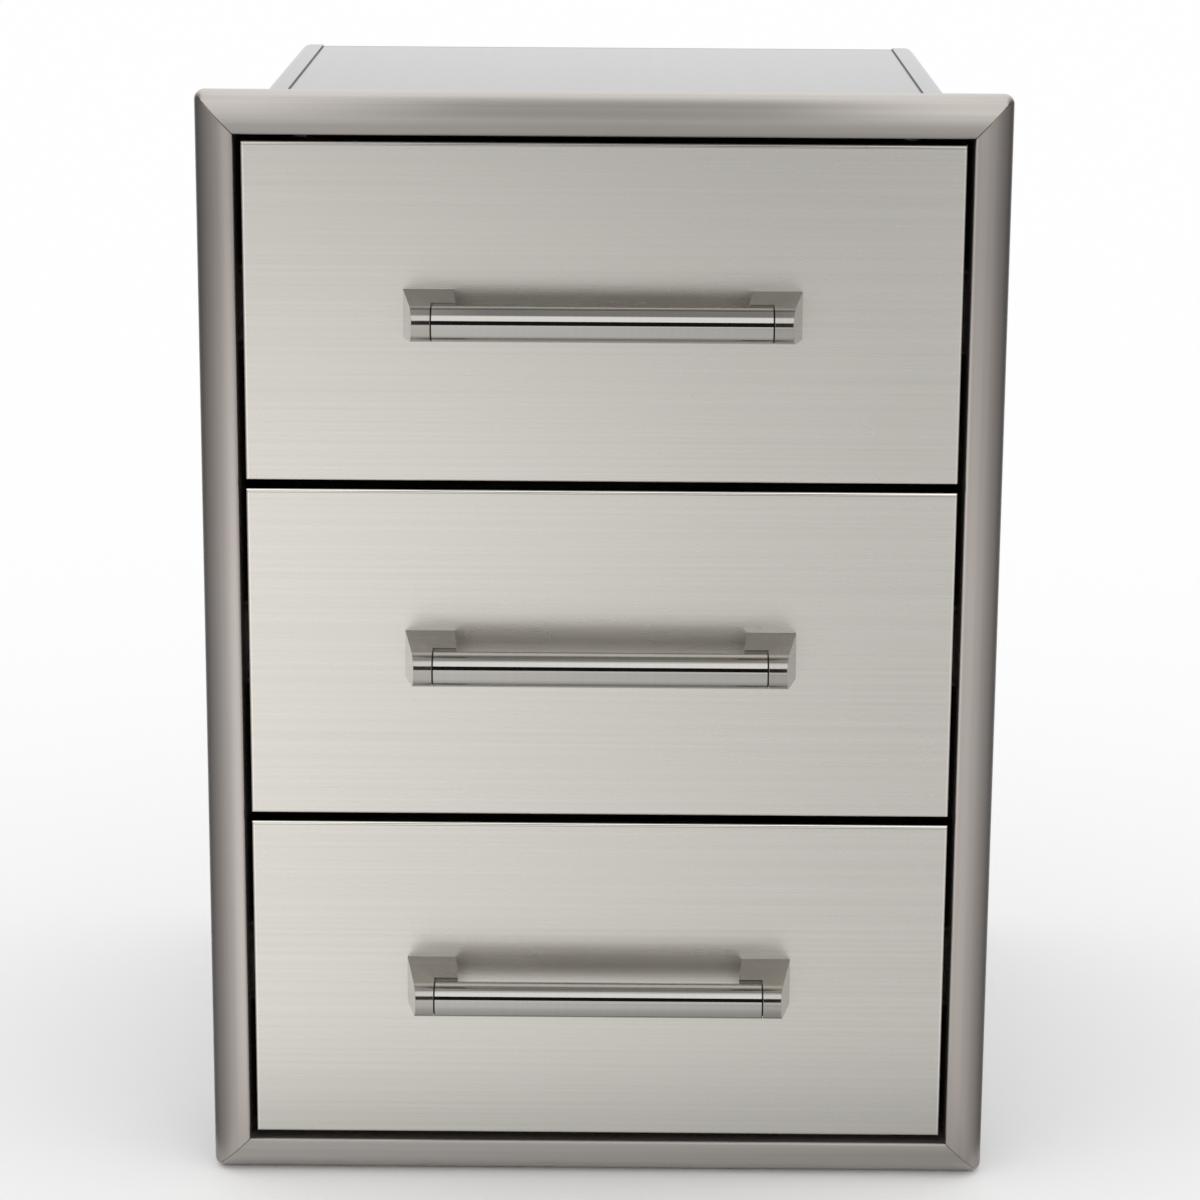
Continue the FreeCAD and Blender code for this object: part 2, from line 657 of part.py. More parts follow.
def tray(drawer):
    """Return a tray with its rims folded inwards and its corners welded."""
    low = front_bottom(drawer) + TRAY_RISE
    top = low + TRAY_HEIGHT
    back_top = top - TRAY_BACK_DROP
    rim_x = TRAY_SIDE_X - TRAY_RIM
    section = [(rim_x, top), (TRAY_SIDE_X, top), (TRAY_SIDE_X, low)]
    section += [(-x, z) for x, z in reversed(section)]
    trough = folded_sheet(seen_from_front, section, TRAY_SHEET, TRAY_BEND)
    trough = slab(trough, FRONT_REAR_Y, TRAY_REAR_Y, BACK)
    inner_x = TRAY_SIDE_X - TRAY_SHEET
    foot = low + TRAY_SHEET / 2
    front = [(FRONT_REAR_Y, foot), (FRONT_REAR_Y, top), (FRONT_REAR_Y + TRAY_RIM, top)]
    front = folded_sheet(seen_from_side, front, TRAY_SHEET, TRAY_BEND)
    front = slab(front, -inner_x, inner_x, RIGHT)
    back = [(TRAY_REAR_Y - TRAY_RIM, back_top), (TRAY_REAR_Y, back_top), (TRAY_REAR_Y, foot)]
    back = folded_sheet(seen_from_side, back, TRAY_SHEET, TRAY_BEND)
    back = slab(back, -inner_x, inner_x, RIGHT)
    body = fused([trough, front, back])
    past_wall = FRONT_REAR_Y + TRAY_SHEET + OVERSHOOT
    holes = handle_screw_holes(drawer, FRONT_REAR_Y - OVERSHOOT, past_wall)
    for y in drawer_screw_places():
        hole = screw_hole(Vector(inner_x - OVERSHOOT, y, slide_middle(drawer)), TRAY_SHEET)
        holes += [hole, mirrored(hole)]
    return body.cut(holes)


# Handles


def handle_bar(drawer):
    """Return the tube of a handle."""
    start = Vector(-HANDLE_BAR_HALF, HANDLE_AXIS_Y, handle_height(drawer))
    bar = rod(HANDLE_RADIUS, start, RIGHT, 2 * HANDLE_BAR_HALF)
    return bar.cut(rod(HANDLE_BORE, start, RIGHT, 2 * HANDLE_BAR_HALF))


def bracket_profile(z):
    """Return a bracket seen from the side: flat on the front, tapered to a round nose."""
    half = BRACKET_FOOT_HEIGHT / 2
    to_axis = math.hypot(HANDLE_AXIS_OUT, half)
    taper = math.atan2(half, HANDLE_AXIS_OUT) - math.asin(HANDLE_RADIUS / to_axis)
    run = math.sqrt(to_axis ** 2 - HANDLE_RADIUS ** 2)
    touch_y = FRONT_FACE_Y - run * math.cos(taper)
    touch_z = half - run * math.sin(taper)
    foot_top = seen_from_side(FRONT_FACE_Y, z + half)
    foot_low = seen_from_side(FRONT_FACE_Y, z - half)
    touch_top = seen_from_side(touch_y, z + touch_z)
    touch_low = seen_from_side(touch_y, z - touch_z)
    nose = seen_from_side(HANDLE_AXIS_Y - HANDLE_RADIUS, z)
    return Part.Face(Part.Wire([
        Part.makeLine(foot_low, foot_top),
        Part.makeLine(foot_top, touch_top),
        Part.Arc(touch_top, nose, touch_low).toShape(),
        Part.makeLine(touch_low, foot_low),
    ]))


def handle_bracket(drawer, side):
    """Return a bracket: a foot cut out round the bar, a collar and a spigot inside the bar."""
    z = handle_height(drawer)
    reach = HANDLE_AXIS_OUT + HANDLE_RADIUS
    front_y = FRONT_FACE_Y - reach
    inner_x = BRACKET_FOOT_X - BRACKET_FOOT_WIDTH
    inner_front_x = inner_x - reach * math.tan(math.radians(BRACKET_INNER_LEAN))
    plan = [Vector(inner_x, FRONT_FACE_Y, 0), Vector(BRACKET_FOOT_X, FRONT_FACE_Y, 0)]
    plan += [Vector(BRACKET_FRONT_X, front_y, 0), Vector(inner_front_x, front_y, 0)]
    plan = Part.Face(Part.makePolygon(plan + plan[:1]))
    leaning = slab(plan, z - BRACKET_FOOT_HEIGHT, z + BRACKET_FOOT_HEIGHT, UP)
    body = slab(bracket_profile(z), 0, BRACKET_FOOT_X, RIGHT).common(leaning)
    saddle_start = Vector(0, HANDLE_AXIS_Y, z)
    body = body.cut(rod(HANDLE_RADIUS + SADDLE_GAP, saddle_start, RIGHT, COLLAR_INNER_X))
    spigot_start = Vector(COLLAR_INNER_X - SPIGOT_LENGTH, HANDLE_AXIS_Y, z)
    spigot = rod(HANDLE_BORE - SPIGOT_CLEARANCE, spigot_start, RIGHT, SPIGOT_LENGTH + OVERSHOOT)
    body = fused([body, spigot])
    thread_start = FRONT_FACE_Y - HANDLE_SCREW_BITE - OVERSHOOT
    body = body.cut(handle_screw_holes(drawer, thread_start, FRONT_FACE_Y + OVERSHOOT)[0])
    return on_side(body, side)


def handle_screws(drawer):
    """Return the two screws that hold a handle, put in from inside the tray."""
    head_y = FRONT_REAR_Y + TRAY_SHEET
    length = head_y - FRONT_FACE_Y + HANDLE_SCREW_BITE
    right = screw(Vector(HANDLE_SCREW_X, head_y, handle_height(drawer)), BACK * -1, length,
                  HANDLE_SCREW_RADIUS, HANDLE_SCREW_HEAD_RADIUS, HANDLE_SCREW_HEAD)
    return Part.makeCompound([right, mirrored(right)])


# Assembly


def all_parts():
    """Return every node of the unit by its name."""
    parts = frame_parts()
    parts["left_side_panel"] = side_panel("left")
    parts["right_side_panel"] = side_panel("right")
    parts["top_panel"] = cover_panel(BOX_TOP - BOX_SHEET, -1)
    parts["bottom_panel"] = cover_panel(BOX_BOTTOM + BOX_SHEET, 1)
    parts["back_panel"] = back_panel()
    parts["frame_rivets"] = Part.makeCompound([rivet(seat, way) for seat, way in rivet_places()])
    parts["cabinet_slide_screws"] = cabinet_slide_screws()
    parts["closing_bumpers"] = closing_bumpers()
    for drawer in DRAWER_NAMES:
        parts[drawer + "_front_skin"] = front_skin(drawer)
        parts[drawer + "_front_liner"] = front_liner(drawer)
        parts[drawer + "_tray"] = tray(drawer)
        parts[drawer + "_handle_bar"] = handle_bar(drawer)
        parts[drawer + "_handle_screws"] = handle_screws(drawer)
        parts[drawer + "_drawer_slide_screws"] = drawer_slide_screws(drawer)
        parts[drawer + "_outer_ball_cages"] = outer_cages(drawer)
        parts[drawer + "_inner_ball_cages"] = inner_cages(drawer)
        for side in ("left", "right"):
            name = drawer + "_" + side
            parts[name + "_handle_bracket"] = handle_bracket(drawer, side)
            parts[name + "_cabinet_member"] = cabinet_member(drawer, side)
            parts[name + "_middle_member"] = middle_member(drawer, side)
            parts[name + "_drawer_member"] = drawer_member(drawer, side)
    return parts


def main():
    """Write one STEP file for each node."""
    os.makedirs("parts", exist_ok=True)
    for name, shape in all_parts().items():
        shape.exportStep(os.path.join("parts", name + ".step"))
        print(name, len(shape.Solids), "solids, valid:", shape.isValid())


main()
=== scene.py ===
import logging
import math
from collections.abc import Callable, Sequence
from dataclasses import dataclass
from enum import Enum

import bmesh
import bpy
from mathutils import Matrix, Vector


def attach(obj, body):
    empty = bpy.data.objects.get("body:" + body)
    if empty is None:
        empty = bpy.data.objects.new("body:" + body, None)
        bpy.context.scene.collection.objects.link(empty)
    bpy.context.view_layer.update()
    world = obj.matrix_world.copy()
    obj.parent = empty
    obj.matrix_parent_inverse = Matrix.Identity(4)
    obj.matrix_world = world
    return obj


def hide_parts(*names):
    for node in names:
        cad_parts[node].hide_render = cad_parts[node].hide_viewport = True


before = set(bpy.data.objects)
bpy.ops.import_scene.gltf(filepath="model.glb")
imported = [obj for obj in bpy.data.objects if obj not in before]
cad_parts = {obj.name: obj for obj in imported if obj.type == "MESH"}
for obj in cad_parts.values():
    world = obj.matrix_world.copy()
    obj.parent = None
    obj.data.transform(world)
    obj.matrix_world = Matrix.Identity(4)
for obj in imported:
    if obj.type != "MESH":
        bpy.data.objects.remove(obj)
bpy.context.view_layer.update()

LOG = logging.getLogger("drawer_unit")

MM = 0.001
SIDES = {"left": -1.0, "right": 1.0}

FRAME_WIDTH = 432.0 * MM
FRAME_HEIGHT = 605.0 * MM
FRAME_FACE = 21.5 * MM
FRONT_WIDTH = 382.0 * MM
FRONT_REVEAL = 3.5 * MM
FRONT_GAP = 4.6 * MM
FRONT_LOWEST = FRAME_FACE + FRONT_REVEAL
FRONT_HEIGHT = (FRAME_HEIGHT - 2 * FRONT_LOWEST - 2 * FRONT_GAP) / 3
FRONT_PITCH = FRONT_HEIGHT + FRONT_GAP
FRONT_BOTTOMS = {name: FRONT_LOWEST + i * FRONT_PITCH
                 for i, name in enumerate(("bottom", "middle", "top"))}
SLIDE_RISE = 86.5 * MM
BAR_Y = -50.8 * MM
BAR_RADIUS = 9.5 * MM
SHARP_DEGREES = 32.0

BLACK = (0.0, 0.0, 0.0)
WHITE = (1.0, 1.0, 1.0)

Colour = tuple[float, float, float]
Point = tuple[float, float, float]
Profile = Sequence[tuple[float, float]]
Points = list[tuple[float, float]]
Work = bmesh.types.BMesh
Ring = list[bmesh.types.BMVert]
Mesh = bpy.types.Mesh
Material = bpy.types.Material
Palette = dict[str, Material]


class Axis(Enum):
    """An axis of the unit: X runs to its right, Y to its back and Z up."""

    X = 0
    Y = 1
    Z = 2


# Shader expressions


class Signal:
    """A value that varies over a surface, held as an output socket of a node.

    Adding, subtracting, multiplying and dividing signals adds Math nodes.
    """

    def __init__(self, shader: "Shader", socket: bpy.types.NodeSocket) -> None:
        """Keep the socket and the shader it belongs to."""
        self.shader = shader
        self.socket = socket

    def __add__(self, other: "Input") -> "Signal":
        """Return self + other."""
        return self.shader.math("ADD", self, other)

    def __radd__(self, other: "Input") -> "Signal":
        """Return other + self."""
        return self.shader.math("ADD", other, self)

    def __sub__(self, other: "Input") -> "Signal":
        """Return self - other."""
        return self.shader.math("SUBTRACT", self, other)

    def __rsub__(self, other: "Input") -> "Signal":
        """Return other - self."""
        return self.shader.math("SUBTRACT", other, self)

    def __mul__(self, other: "Input") -> "Signal":
        """Return self * other."""
        return self.shader.math("MULTIPLY", self, other)

    def __rmul__(self, other: "Input") -> "Signal":
        """Return other * self."""
        return self.shader.math("MULTIPLY", other, self)

    def __truediv__(self, other: "Input") -> "Signal":
        """Return self / other."""
        return self.shader.math("DIVIDE", self, other)

    def __rtruediv__(self, other: "Input") -> "Signal":
        """Return other / self."""
        return self.shader.math("DIVIDE", other, self)


Input = Signal | float | Sequence[float]


class Shader:
    """A node material under construction."""

    def __init__(self, name: str) -> None:
        """Start a material with nothing but its output node.

        Args:
            name: The material's name.
        """
        self.material = bpy.data.materials.new(name)
        self.material.use_nodes = True
        self.tree = self.material.node_tree
        self.tree.nodes.clear()
        self.output = self.tree.nodes.new("ShaderNodeOutputMaterial")

    def node(self, kind: str, settings: dict[str, object] | None = None,
             inputs: dict[str | int, Input] | None = None, output: str | int = 0) -> Signal:
        """Add one node.

        Args:
            kind: The node's type.
            settings: Properties of the node, which are set first.
            inputs: Values or links of its input sockets, by name or number.
            output: The output socket to return.

        Returns:
            The node's output as a signal.
        """
        node = self.tree.nodes.new(kind)
        for name, value in (settings or {}).items():
            setattr(node, name, value)
        for name, value in (inputs or {}).items():
            self._feed(node.inputs[name], value)
        return Signal(self, node.outputs[output])

    def _feed(self, socket: bpy.types.NodeSocket, value: Input) -> None:
        """Link a signal to a socket, or set the socket's own value.

        Args:
            socket: The input socket.
            value: A signal, a number or a tuple.
        """
        if isinstance(value, Signal):
            self.tree.links.new(value.socket, socket)
        elif isinstance(value, tuple) and socket.type == "RGBA":
            socket.default_value = (*value[:3], 1.0)
        else:
            socket.default_value = value

    def position(self) -> Signal:
        """Return the place on the object, in metres."""
        return self.node("ShaderNodeTexCoord", output="Object")

    def along(self, axis: Axis) -> Signal:
        """Return the place on the object along one axis, in metres."""
        return self.node("ShaderNodeSeparateXYZ", {}, {"Vector": self.position()}, axis.value)

    def math(self, operation: str, first: Input, second: Input = 0.0) -> Signal:
        """Return the result of a Math node, of which some operations take one value only."""
        return self.node("ShaderNodeMath", {"operation": operation}, {0: first, 1: second})

    def noise(self, scale: Point, detail: float = 2.0, roughness: float = 0.5) -> Signal:
        """Return soft noise between 0 and 1.

        Args:
            scale: Waves per metre along X, Y and Z.
            detail: Number of finer layers.
            roughness: Strength of the finer layers.

        Returns:
            The noise.
        """
        place = self.node("ShaderNodeMapping", {}, {"Vector": self.position(), "Scale": scale})
        values = {"Vector": place, "Scale": 1.0, "Detail": detail, "Roughness": roughness}
        return self.node("ShaderNodeTexNoise", {}, values)

    def between(self, value: Input, low: float, high: float) -> Signal:
        """Return how far a value lies on the way from low to high, clamped to 0 and 1."""
        limits = {"Value": value, "From Min": low, "From Max": high}
        return self.node("ShaderNodeMapRange", {"clamp": True}, limits)

    def mixed(self, share: Input, first: Input, second: Input) -> Signal:
        """Return two colours mixed, of which the second has the given share."""
        return self.node("ShaderNodeMix", {"data_type": "RGBA"}, {0: share, 6: first, 7: second}, 2)

    def bump(self, height: Input, distance: float, strength: float = 1.0) -> Signal:
        """Return the normal of a relief: its height from 0 to 1, and what 1 is in metres."""
        values = {"Strength": strength, "Distance": distance, "Height": height}
        return self.node("ShaderNodeBump", {}, values)

    def finished(self, kind: str, inputs: dict[str, Input]) -> Material:
        """Finish the material.

        Args:
            kind: The type of its surface shader's node.
            inputs: Values or links of that shader's sockets.

        Returns:
            The finished material.
        """
        surface = self.node(kind, {}, inputs)
        self.tree.links.new(surface.socket, self.output.inputs["Surface"])
        return self.material

    def principled(self, inputs: dict[str, Input]) -> Material:
        """Finish the material with the all-round surface shader."""
        return self.finished("ShaderNodeBsdfPrincipled", inputs)


# Finishes


class Grain(Enum):
    """Way in which a surface is brushed, as the axes across which its scratches lie."""

    ALONG_X = (0.0, 1.0, 1.0)
    ALONG_Y = (1.0, 0.0, 1.0)
    ALONG_Z = (1.0, 1.0, 0.0)
    AROUND_X = (1.0, 0.0, 0.0)

    def scale(self, along: float, across: float) -> Point:
        """Return waves per metre on X, Y and Z for those along and across the scratches."""
        return tuple(along + (across - along) * share for share in self.value)


@dataclass(frozen=True)
class Fade:
    """A shade that changes between two places along an axis."""

    axis: Axis
    low: float
    high: float
    low_shade: float
    high_shade: float
    both_ways: bool = False

    def shade(self, shader: Shader) -> Signal:
        """Return the shade over the surface.

        Args:
            shader: The shader to add it to.

        Returns:
            low_shade up to low, high_shade from high on, and a straight change between them.
        """
        place = shader.along(self.axis)
        if self.both_ways:
            place = shader.math("ABSOLUTE", place)
        change = self.high_shade - self.low_shade
        return self.low_shade + shader.between(place, self.low, self.high) * change


@dataclass(frozen=True)
class Seam:
    """A painted shadow line at each side seam of the box's top, between two distances from the middle."""

    inner: float = 181.1 * MM
    outer: float = 182.1 * MM
    blur: float = 0.15 * MM
    shade: float = 0.10

    def share(self, shader: Shader) -> Signal:
        """Return 1 on the painted shadow line and 0 elsewhere.

        Args:
            shader: The shader to add it to.

        Returns:
            The painted shadow line's share of the surface.
        """
        place = shader.math("ABSOLUTE", shader.along(Axis.X))
        start = shader.between(place, self.inner - self.blur, self.inner)
        return start - shader.between(place, self.outer, self.outer + self.blur)


@dataclass(frozen=True)
class BrushedSteel:
    """Stainless steel with a straight brushed grain.

    Waves are counted per metre, along the grain and across it.
    """

    name: str
    colour: Colour
    roughness: float
    grain: Grain
    line_contrast: float = 0.10
    streak_contrast: float = 0.06
    cloud_contrast: float = 0.03
    groove_depth: float = 2.0e-6
    fades: tuple[Fade, ...] = ()
    line_waves: tuple[float, float] = (2.0, 480.0)
    streak_waves: tuple[float, float] = (1.2, 150.0)
    cloud_waves: float = 11.0
    streak_wear: float = 0.06
    cloud_wear: float = 0.05
    brightest_shade: float = 1.5

    def material(self) -> Material:
        """Build the material.

        Returns:
            Steel whose fine lines, soft streaks and faint clouds follow the grain.
        """
        shader = Shader(self.name)
        lines = shader.noise(self.grain.scale(*self.line_waves), detail=1.5, roughness=0.45)
        streaks = shader.noise(self.grain.scale(*self.streak_waves), detail=2.0, roughness=0.6)
        clouds = shader.noise((self.cloud_waves,) * 3, detail=3.0)
        shade = 1.0 + (lines - 0.5) * self.line_contrast + (streaks - 0.5) * self.streak_contrast
        shade = shade + (clouds - 0.5) * self.cloud_contrast
        # Painted light and shade: each fade lightens or darkens the colour by place.
        for fade in self.fades:
            shade = shade * fade.shade(shader)
        light = tuple(self.brightest_shade * part for part in self.colour)
        colour = shader.mixed(self.painted_light(shader, shade) / self.brightest_shade, BLACK, light)
        roughness = self.roughness + (streaks - 0.5) * self.streak_wear
        roughness = self.polished(shader, roughness + (clouds - 0.5) * self.cloud_wear)
        inputs = {"Base Color": colour, "Metallic": 1.0, "Roughness": roughness}
        if self.groove_depth:
            inputs["Normal"] = shader.bump(lines, self.groove_depth)
        return shader.principled(inputs)

    def painted_light(self, shader: Shader, shade: Signal) -> Signal:
        """Return the shade with its painted light, of which plain brushed steel has none."""
        return shade

    def polished(self, shader: Shader, roughness: Signal) -> Signal:
        """Return the roughness with its polished places, of which plain brushed steel has none."""
        return roughness


@dataclass(frozen=True)
class FrontSteel(BrushedSteel):
    """Brushed steel of the drawer fronts, with a painted highlight on the fold along each edge and a
    painted dark reflection in a line under the top one.
    """

    fold: float = 1.6 * MM
    fold_blur: float = 0.2 * MM
    # Painted highlight on the folds, and a painted dark reflection in a line just under the top fold.
    fold_highlight: float = 1.22
    fold_roughness: float = 0.10
    mark: float = 0.45 * MM
    painted_line_start_blur: float = 0.15 * MM
    painted_line_end_blur: float = 0.25 * MM
    painted_line_shade: float = 0.62

    def from_edge(self, shader: Shader) -> tuple[Signal, Signal]:
        """Return how far a point is from the side edges and from the top edge of its front.

        Args:
            shader: The shader to add the sums to.

        Returns:
            The two distances, in metres.
        """
        across = shader.math("ABSOLUTE", shader.along(Axis.X))
        below = 0.5 * FRONT_GAP
        turns = (shader.along(Axis.Z) - (FRONT_LOWEST - below)) / FRONT_PITCH
        rise = shader.math("FRACT", turns) * FRONT_PITCH
        return 0.5 * FRONT_WIDTH - across, (FRONT_HEIGHT + below) - rise

    def folded(self, shader: Shader) -> Signal:
        """Return 1 on the folds along the side and top edges and 0 elsewhere.

        Args:
            shader: The shader to add it to.

        Returns:
            The folds' share of the surface.
        """
        side, top = self.from_edge(shader)
        nearest = shader.math("MINIMUM", side, top)
        return 1.0 - shader.between(nearest, self.fold, self.fold + self.fold_blur)

    def painted_light(self, shader: Shader, shade: Signal) -> Signal:
        """Return the shade with a painted highlight on the folds and a painted dark reflection in a line
        under the top one.

        Args:
            shader: The shader to add the marks to.
            shade: The plain shade.

        Returns:
            The shade with its painted light.
        """
        top = self.from_edge(shader)[1]
        last = self.fold + self.mark
        line = shader.between(top, self.fold, self.fold + self.painted_line_start_blur)
        line = line - shader.between(top, last, last + self.painted_line_end_blur)
        light = 1.0 + self.folded(shader) * (self.fold_highlight - 1.0)
        return shade * light * (1.0 - line * (1.0 - self.painted_line_shade))

    def polished(self, shader: Shader, roughness: Signal) -> Signal:
        """Return the roughness, lower where the folds are rubbed."""
        return roughness - self.folded(shader) * (self.roughness - self.fold_roughness)


@dataclass(frozen=True)
class MillSteel:
    """Stainless steel sheet as it leaves the mill: smooth, with rolling marks and faint scuffs."""

    name: str
    colour: Colour
    roughness: float
    grain: Grain = Grain.ALONG_Y
    fades: tuple[Fade, ...] = ()
    seam: Seam | None = None
    dullest: float = 0.86
    brightest: float = 1.08
    cloud_share: float = 0.7
    mark_depth: float = 4.0e-6

    def material(self) -> Material:
        """Build the material.

        Returns:
            Smooth steel with soft clouds, rolling marks and a few scuffs.
        """
        shader = Shader(self.name)
        rolling = shader.noise(self.grain.scale(along=2.0, across=160.0))
        clouds = shader.noise((7.0, 7.0, 7.0), detail=4.0, roughness=0.55)
        scratches = shader.noise(self.grain.scale(along=25.0, across=900.0), detail=4.0, roughness=0.7)
        scuffs = shader.between(scratches, 0.62, 0.72)
        dull = tuple(self.dullest * part for part in self.colour)
        bright = tuple(self.brightest * part for part in self.colour)
        share = clouds * self.cloud_share + rolling * (1.0 - self.cloud_share)
        colour = shader.mixed(share, dull, bright)
        # Painted shade: each fade darkens the colour by place, and the seam gets a painted shadow line.
        for fade in self.fades:
            colour = shader.mixed(fade.shade(shader), BLACK, colour)
        if self.seam:
            dark = tuple(self.seam.shade * part for part in self.colour)
            colour = shader.mixed(self.seam.share(shader), colour, dark)
        return shader.principled({
            "Base Color": colour,
            "Metallic": 1.0,
            "Roughness": self.roughness + (clouds - 0.5) * 0.10 + scuffs * 0.06,
            "Normal": shader.bump(rolling + scuffs * 0.2, self.mark_depth),
        })


@dataclass(frozen=True)
class ZincPlate:
    """Bright zinc plating on rolled steel, with its faint blue and straw bloom."""

    name: str
    colour: Colour
    bloom: Colour
    roughness: float

    def material(self) -> Material:
        """Build the material.

        Returns:
            Plated steel with blooms of colour and die lines along its length.
        """
        shader = Shader(self.name)
        stains = shader.noise((30.0, 9.0, 30.0), detail=3.0, roughness=0.6)
        bloom = shader.between(stains, 0.38, 0.68)
        lines = shader.noise(Grain.ALONG_Y.scale(along=3.0, across=1300.0), roughness=0.6)
        specks = shader.between(shader.noise((1500.0, 1500.0, 1500.0), detail=1.0), 0.60, 0.75)
        colour = shader.mixed(bloom * 0.6 + specks * 0.15, self.colour, self.bloom)
        return shader.principled({
            "Base Color": colour,
            "Metallic": 1.0,
            "Roughness": self.roughness + specks * 0.12 + (lines - 0.5) * 0.10,
            "Normal": shader.bump(lines + specks * 0.3, 3.0e-6),
        })


@dataclass(frozen=True)
class Rubber:
    """Moulded black rubber."""

    name: str
    colour: Colour

    def material(self) -> Material:
        """Build the material.

        Returns:
            Dull rubber with a fine moulded skin and traces of dust.
        """
        shader = Shader(self.name)
        skin = shader.noise((2200.0, 2200.0, 2200.0), roughness=0.6)
        dust = shader.between(shader.noise((90.0, 90.0, 90.0), detail=3.0, roughness=0.6), 0.5, 0.8)
        dusty = tuple(part + 0.05 for part in self.colour)
        return shader.principled({
            "Base Color": shader.mixed(dust * 0.5, self.colour, dusty),
            "Roughness": 0.62 + dust * 0.2,
            "Normal": shader.bump(skin, 2.5e-5, 0.6),
        })


@dataclass(frozen=True)
class Finishes:
    """Every finish of the unit, built once and shared by its pieces."""

    # Painted light and shade by height: the top rail darker low on its face and lighter towards its top
    # edge, the bottom rail a little darker.
    rail: BrushedSteel = BrushedSteel(
        "trim_steel_along_rails", (0.60, 0.565, 0.53), 0.44, Grain.ALONG_X,
        line_contrast=0.18, streak_contrast=0.22,
        fades=(Fade(Axis.Z, 0.0, 0.3, 1.45, 1.0), Fade(Axis.Z, 0.5845, 0.5945, 0.55, 0.84),
               Fade(Axis.Z, 0.5945, 0.6035, 1.0, 1.28)))
    # Painted shade: the stiles darker on their outer sides and towards the top.
    stile: BrushedSteel = BrushedSteel(
        "trim_steel_along_stiles", (0.51, 0.465, 0.435), 0.35, Grain.ALONG_Z, streak_contrast=0.14,
        fades=(Fade(Axis.X, 0.205, 0.2155, 1.0, 0.50, both_ways=True),
               Fade(Axis.Z, 0.34, 0.54, 1.0, 0.77)))
    # Painted shade: the fronts darker towards the top of the unit.
    front: FrontSteel = FrontSteel(
        "front_steel_brushed", (0.685, 0.66, 0.613), 0.27, Grain.ALONG_X,
        line_contrast=0.12, streak_contrast=0.03, groove_depth=0.0,
        fades=(Fade(Axis.Z, 0.38, 0.57, 0.97, 0.79),))
    liner: BrushedSteel = BrushedSteel(
        "liner_steel_brushed", (0.58, 0.575, 0.56), 0.36, Grain.ALONG_X)
    # Painted shade: the tube darkened at its ends, inside the joints with the brackets.
    handle: BrushedSteel = BrushedSteel(
        "handle_steel_turned", (0.45, 0.436, 0.41), 0.06, Grain.AROUND_X,
        line_contrast=0.06, streak_contrast=0.03, groove_depth=4.0e-7,
        fades=(Fade(Axis.X, 0.0887, 0.0890, 1.0, 0.12, both_ways=True),))
    bracket: BrushedSteel = BrushedSteel(
        "handle_steel_cast", (0.40, 0.378, 0.35), 0.12, Grain.AROUND_X,
        line_contrast=0.08, streak_contrast=0.04, groove_depth=6.0e-7)
    # Painted shade: the spigots near black, so that the joints between bar and collars look dark.
    joint: BrushedSteel = BrushedSteel(
        "handle_joint_painted_shade", (0.02, 0.02, 0.02), 0.6, Grain.AROUND_X, groove_depth=0.0)
    # Painted shade: the box darker towards the front, and a painted shadow line at each side seam of its
    # top.
    box: MillSteel = MillSteel(
        "box_steel_sheet", (0.57, 0.57, 0.57), 0.30,
        fades=(Fade(Axis.Y, 0.0, 0.43, 0.80, 1.0),), seam=Seam())
    tray: MillSteel = MillSteel("tray_steel_sheet", (0.58, 0.585, 0.58), 0.32)
    slide: ZincPlate = ZincPlate(
        "slide_steel_zinc", (0.60, 0.61, 0.63), (0.58, 0.56, 0.48), 0.30)
    cage: ZincPlate = ZincPlate(
        "cage_steel_zinc", (0.52, 0.53, 0.56), (0.60, 0.55, 0.40), 0.36)
    ball: BrushedSteel = BrushedSteel(
        "ball_steel_polished", (0.62, 0.62, 0.63), 0.07, Grain.ALONG_Y,
        line_contrast=0.02, streak_contrast=0.02, groove_depth=0.0)
    fastener: MillSteel = MillSteel(
        "fastener_steel_pressed", (0.56, 0.555, 0.545), 0.24, Grain.ALONG_X)
    rubber: Rubber = Rubber("bumper_rubber_black", (0.022, 0.022, 0.024))

    def build(self) -> Palette:
        """Build every material and return them by the names of this class's fields."""
        return {name: getattr(self, name).material() for name in self.__dataclass_fields__}


# Meshes


def put_in_scene(name: str, data: Mesh | bpy.types.Camera) -> bpy.types.Object:
    """Make an object and put it in the scene.

    Args:
        name: The object's name.
        data: Its mesh, in metres, or the camera that it holds.

    Returns:
        The new object.
    """
    thing = bpy.data.objects.new(name, data)
    bpy.context.scene.collection.objects.link(thing)
    return thing


def plain_mesh(name: str, work: Work) -> Mesh:
    """Turn a work mesh into a mesh.

    Args:
        name: The mesh's name.
        work: The work mesh, which is used up.

    Returns:
        The mesh.
    """
    mesh = bpy.data.meshes.new(name)
    work.to_mesh(mesh)
    work.free()
    return mesh


def rectangle(name: str, centre: Point, across: Point, up: Point) -> Mesh:
    """Build a flat rectangle.

    Args:
        name: The mesh's name.
        centre: Its middle, in metres.
        across: The way from its middle to the middle of one side.
        up: The way from its middle to the middle of the next side.

    Returns:
        The mesh.
    """
    middle, right, top = Vector(centre), Vector(across), Vector(up)
    work = bmesh.new()
    for x, y in ((-1, -1), (1, -1), (1, 1), (-1, 1)):
        work.verts.new(middle + x * right + y * top)
    work.faces.new(list(work.verts))
    return plain_mesh(name, work)


def aimed(seat: Point, way: Point) -> Matrix:
    """Return the placement that turns the Z axis to a way and moves the origin to a seat."""
    return Matrix.Translation(seat) @ Vector(way).to_track_quat("Z", "Y").to_matrix().to_4x4()


def arc(centre: tuple[float, float], radius: float, start: float, end: float, steps: int) -> Points:
    """Return points on an arc, both ends among them, with its angles given in degrees."""
    angles = [math.radians(start + (end - start) * i / steps) for i in range(steps + 1)]
    return [(centre[0] + radius * math.cos(a), centre[1] + radius * math.sin(a)) for a in angles]


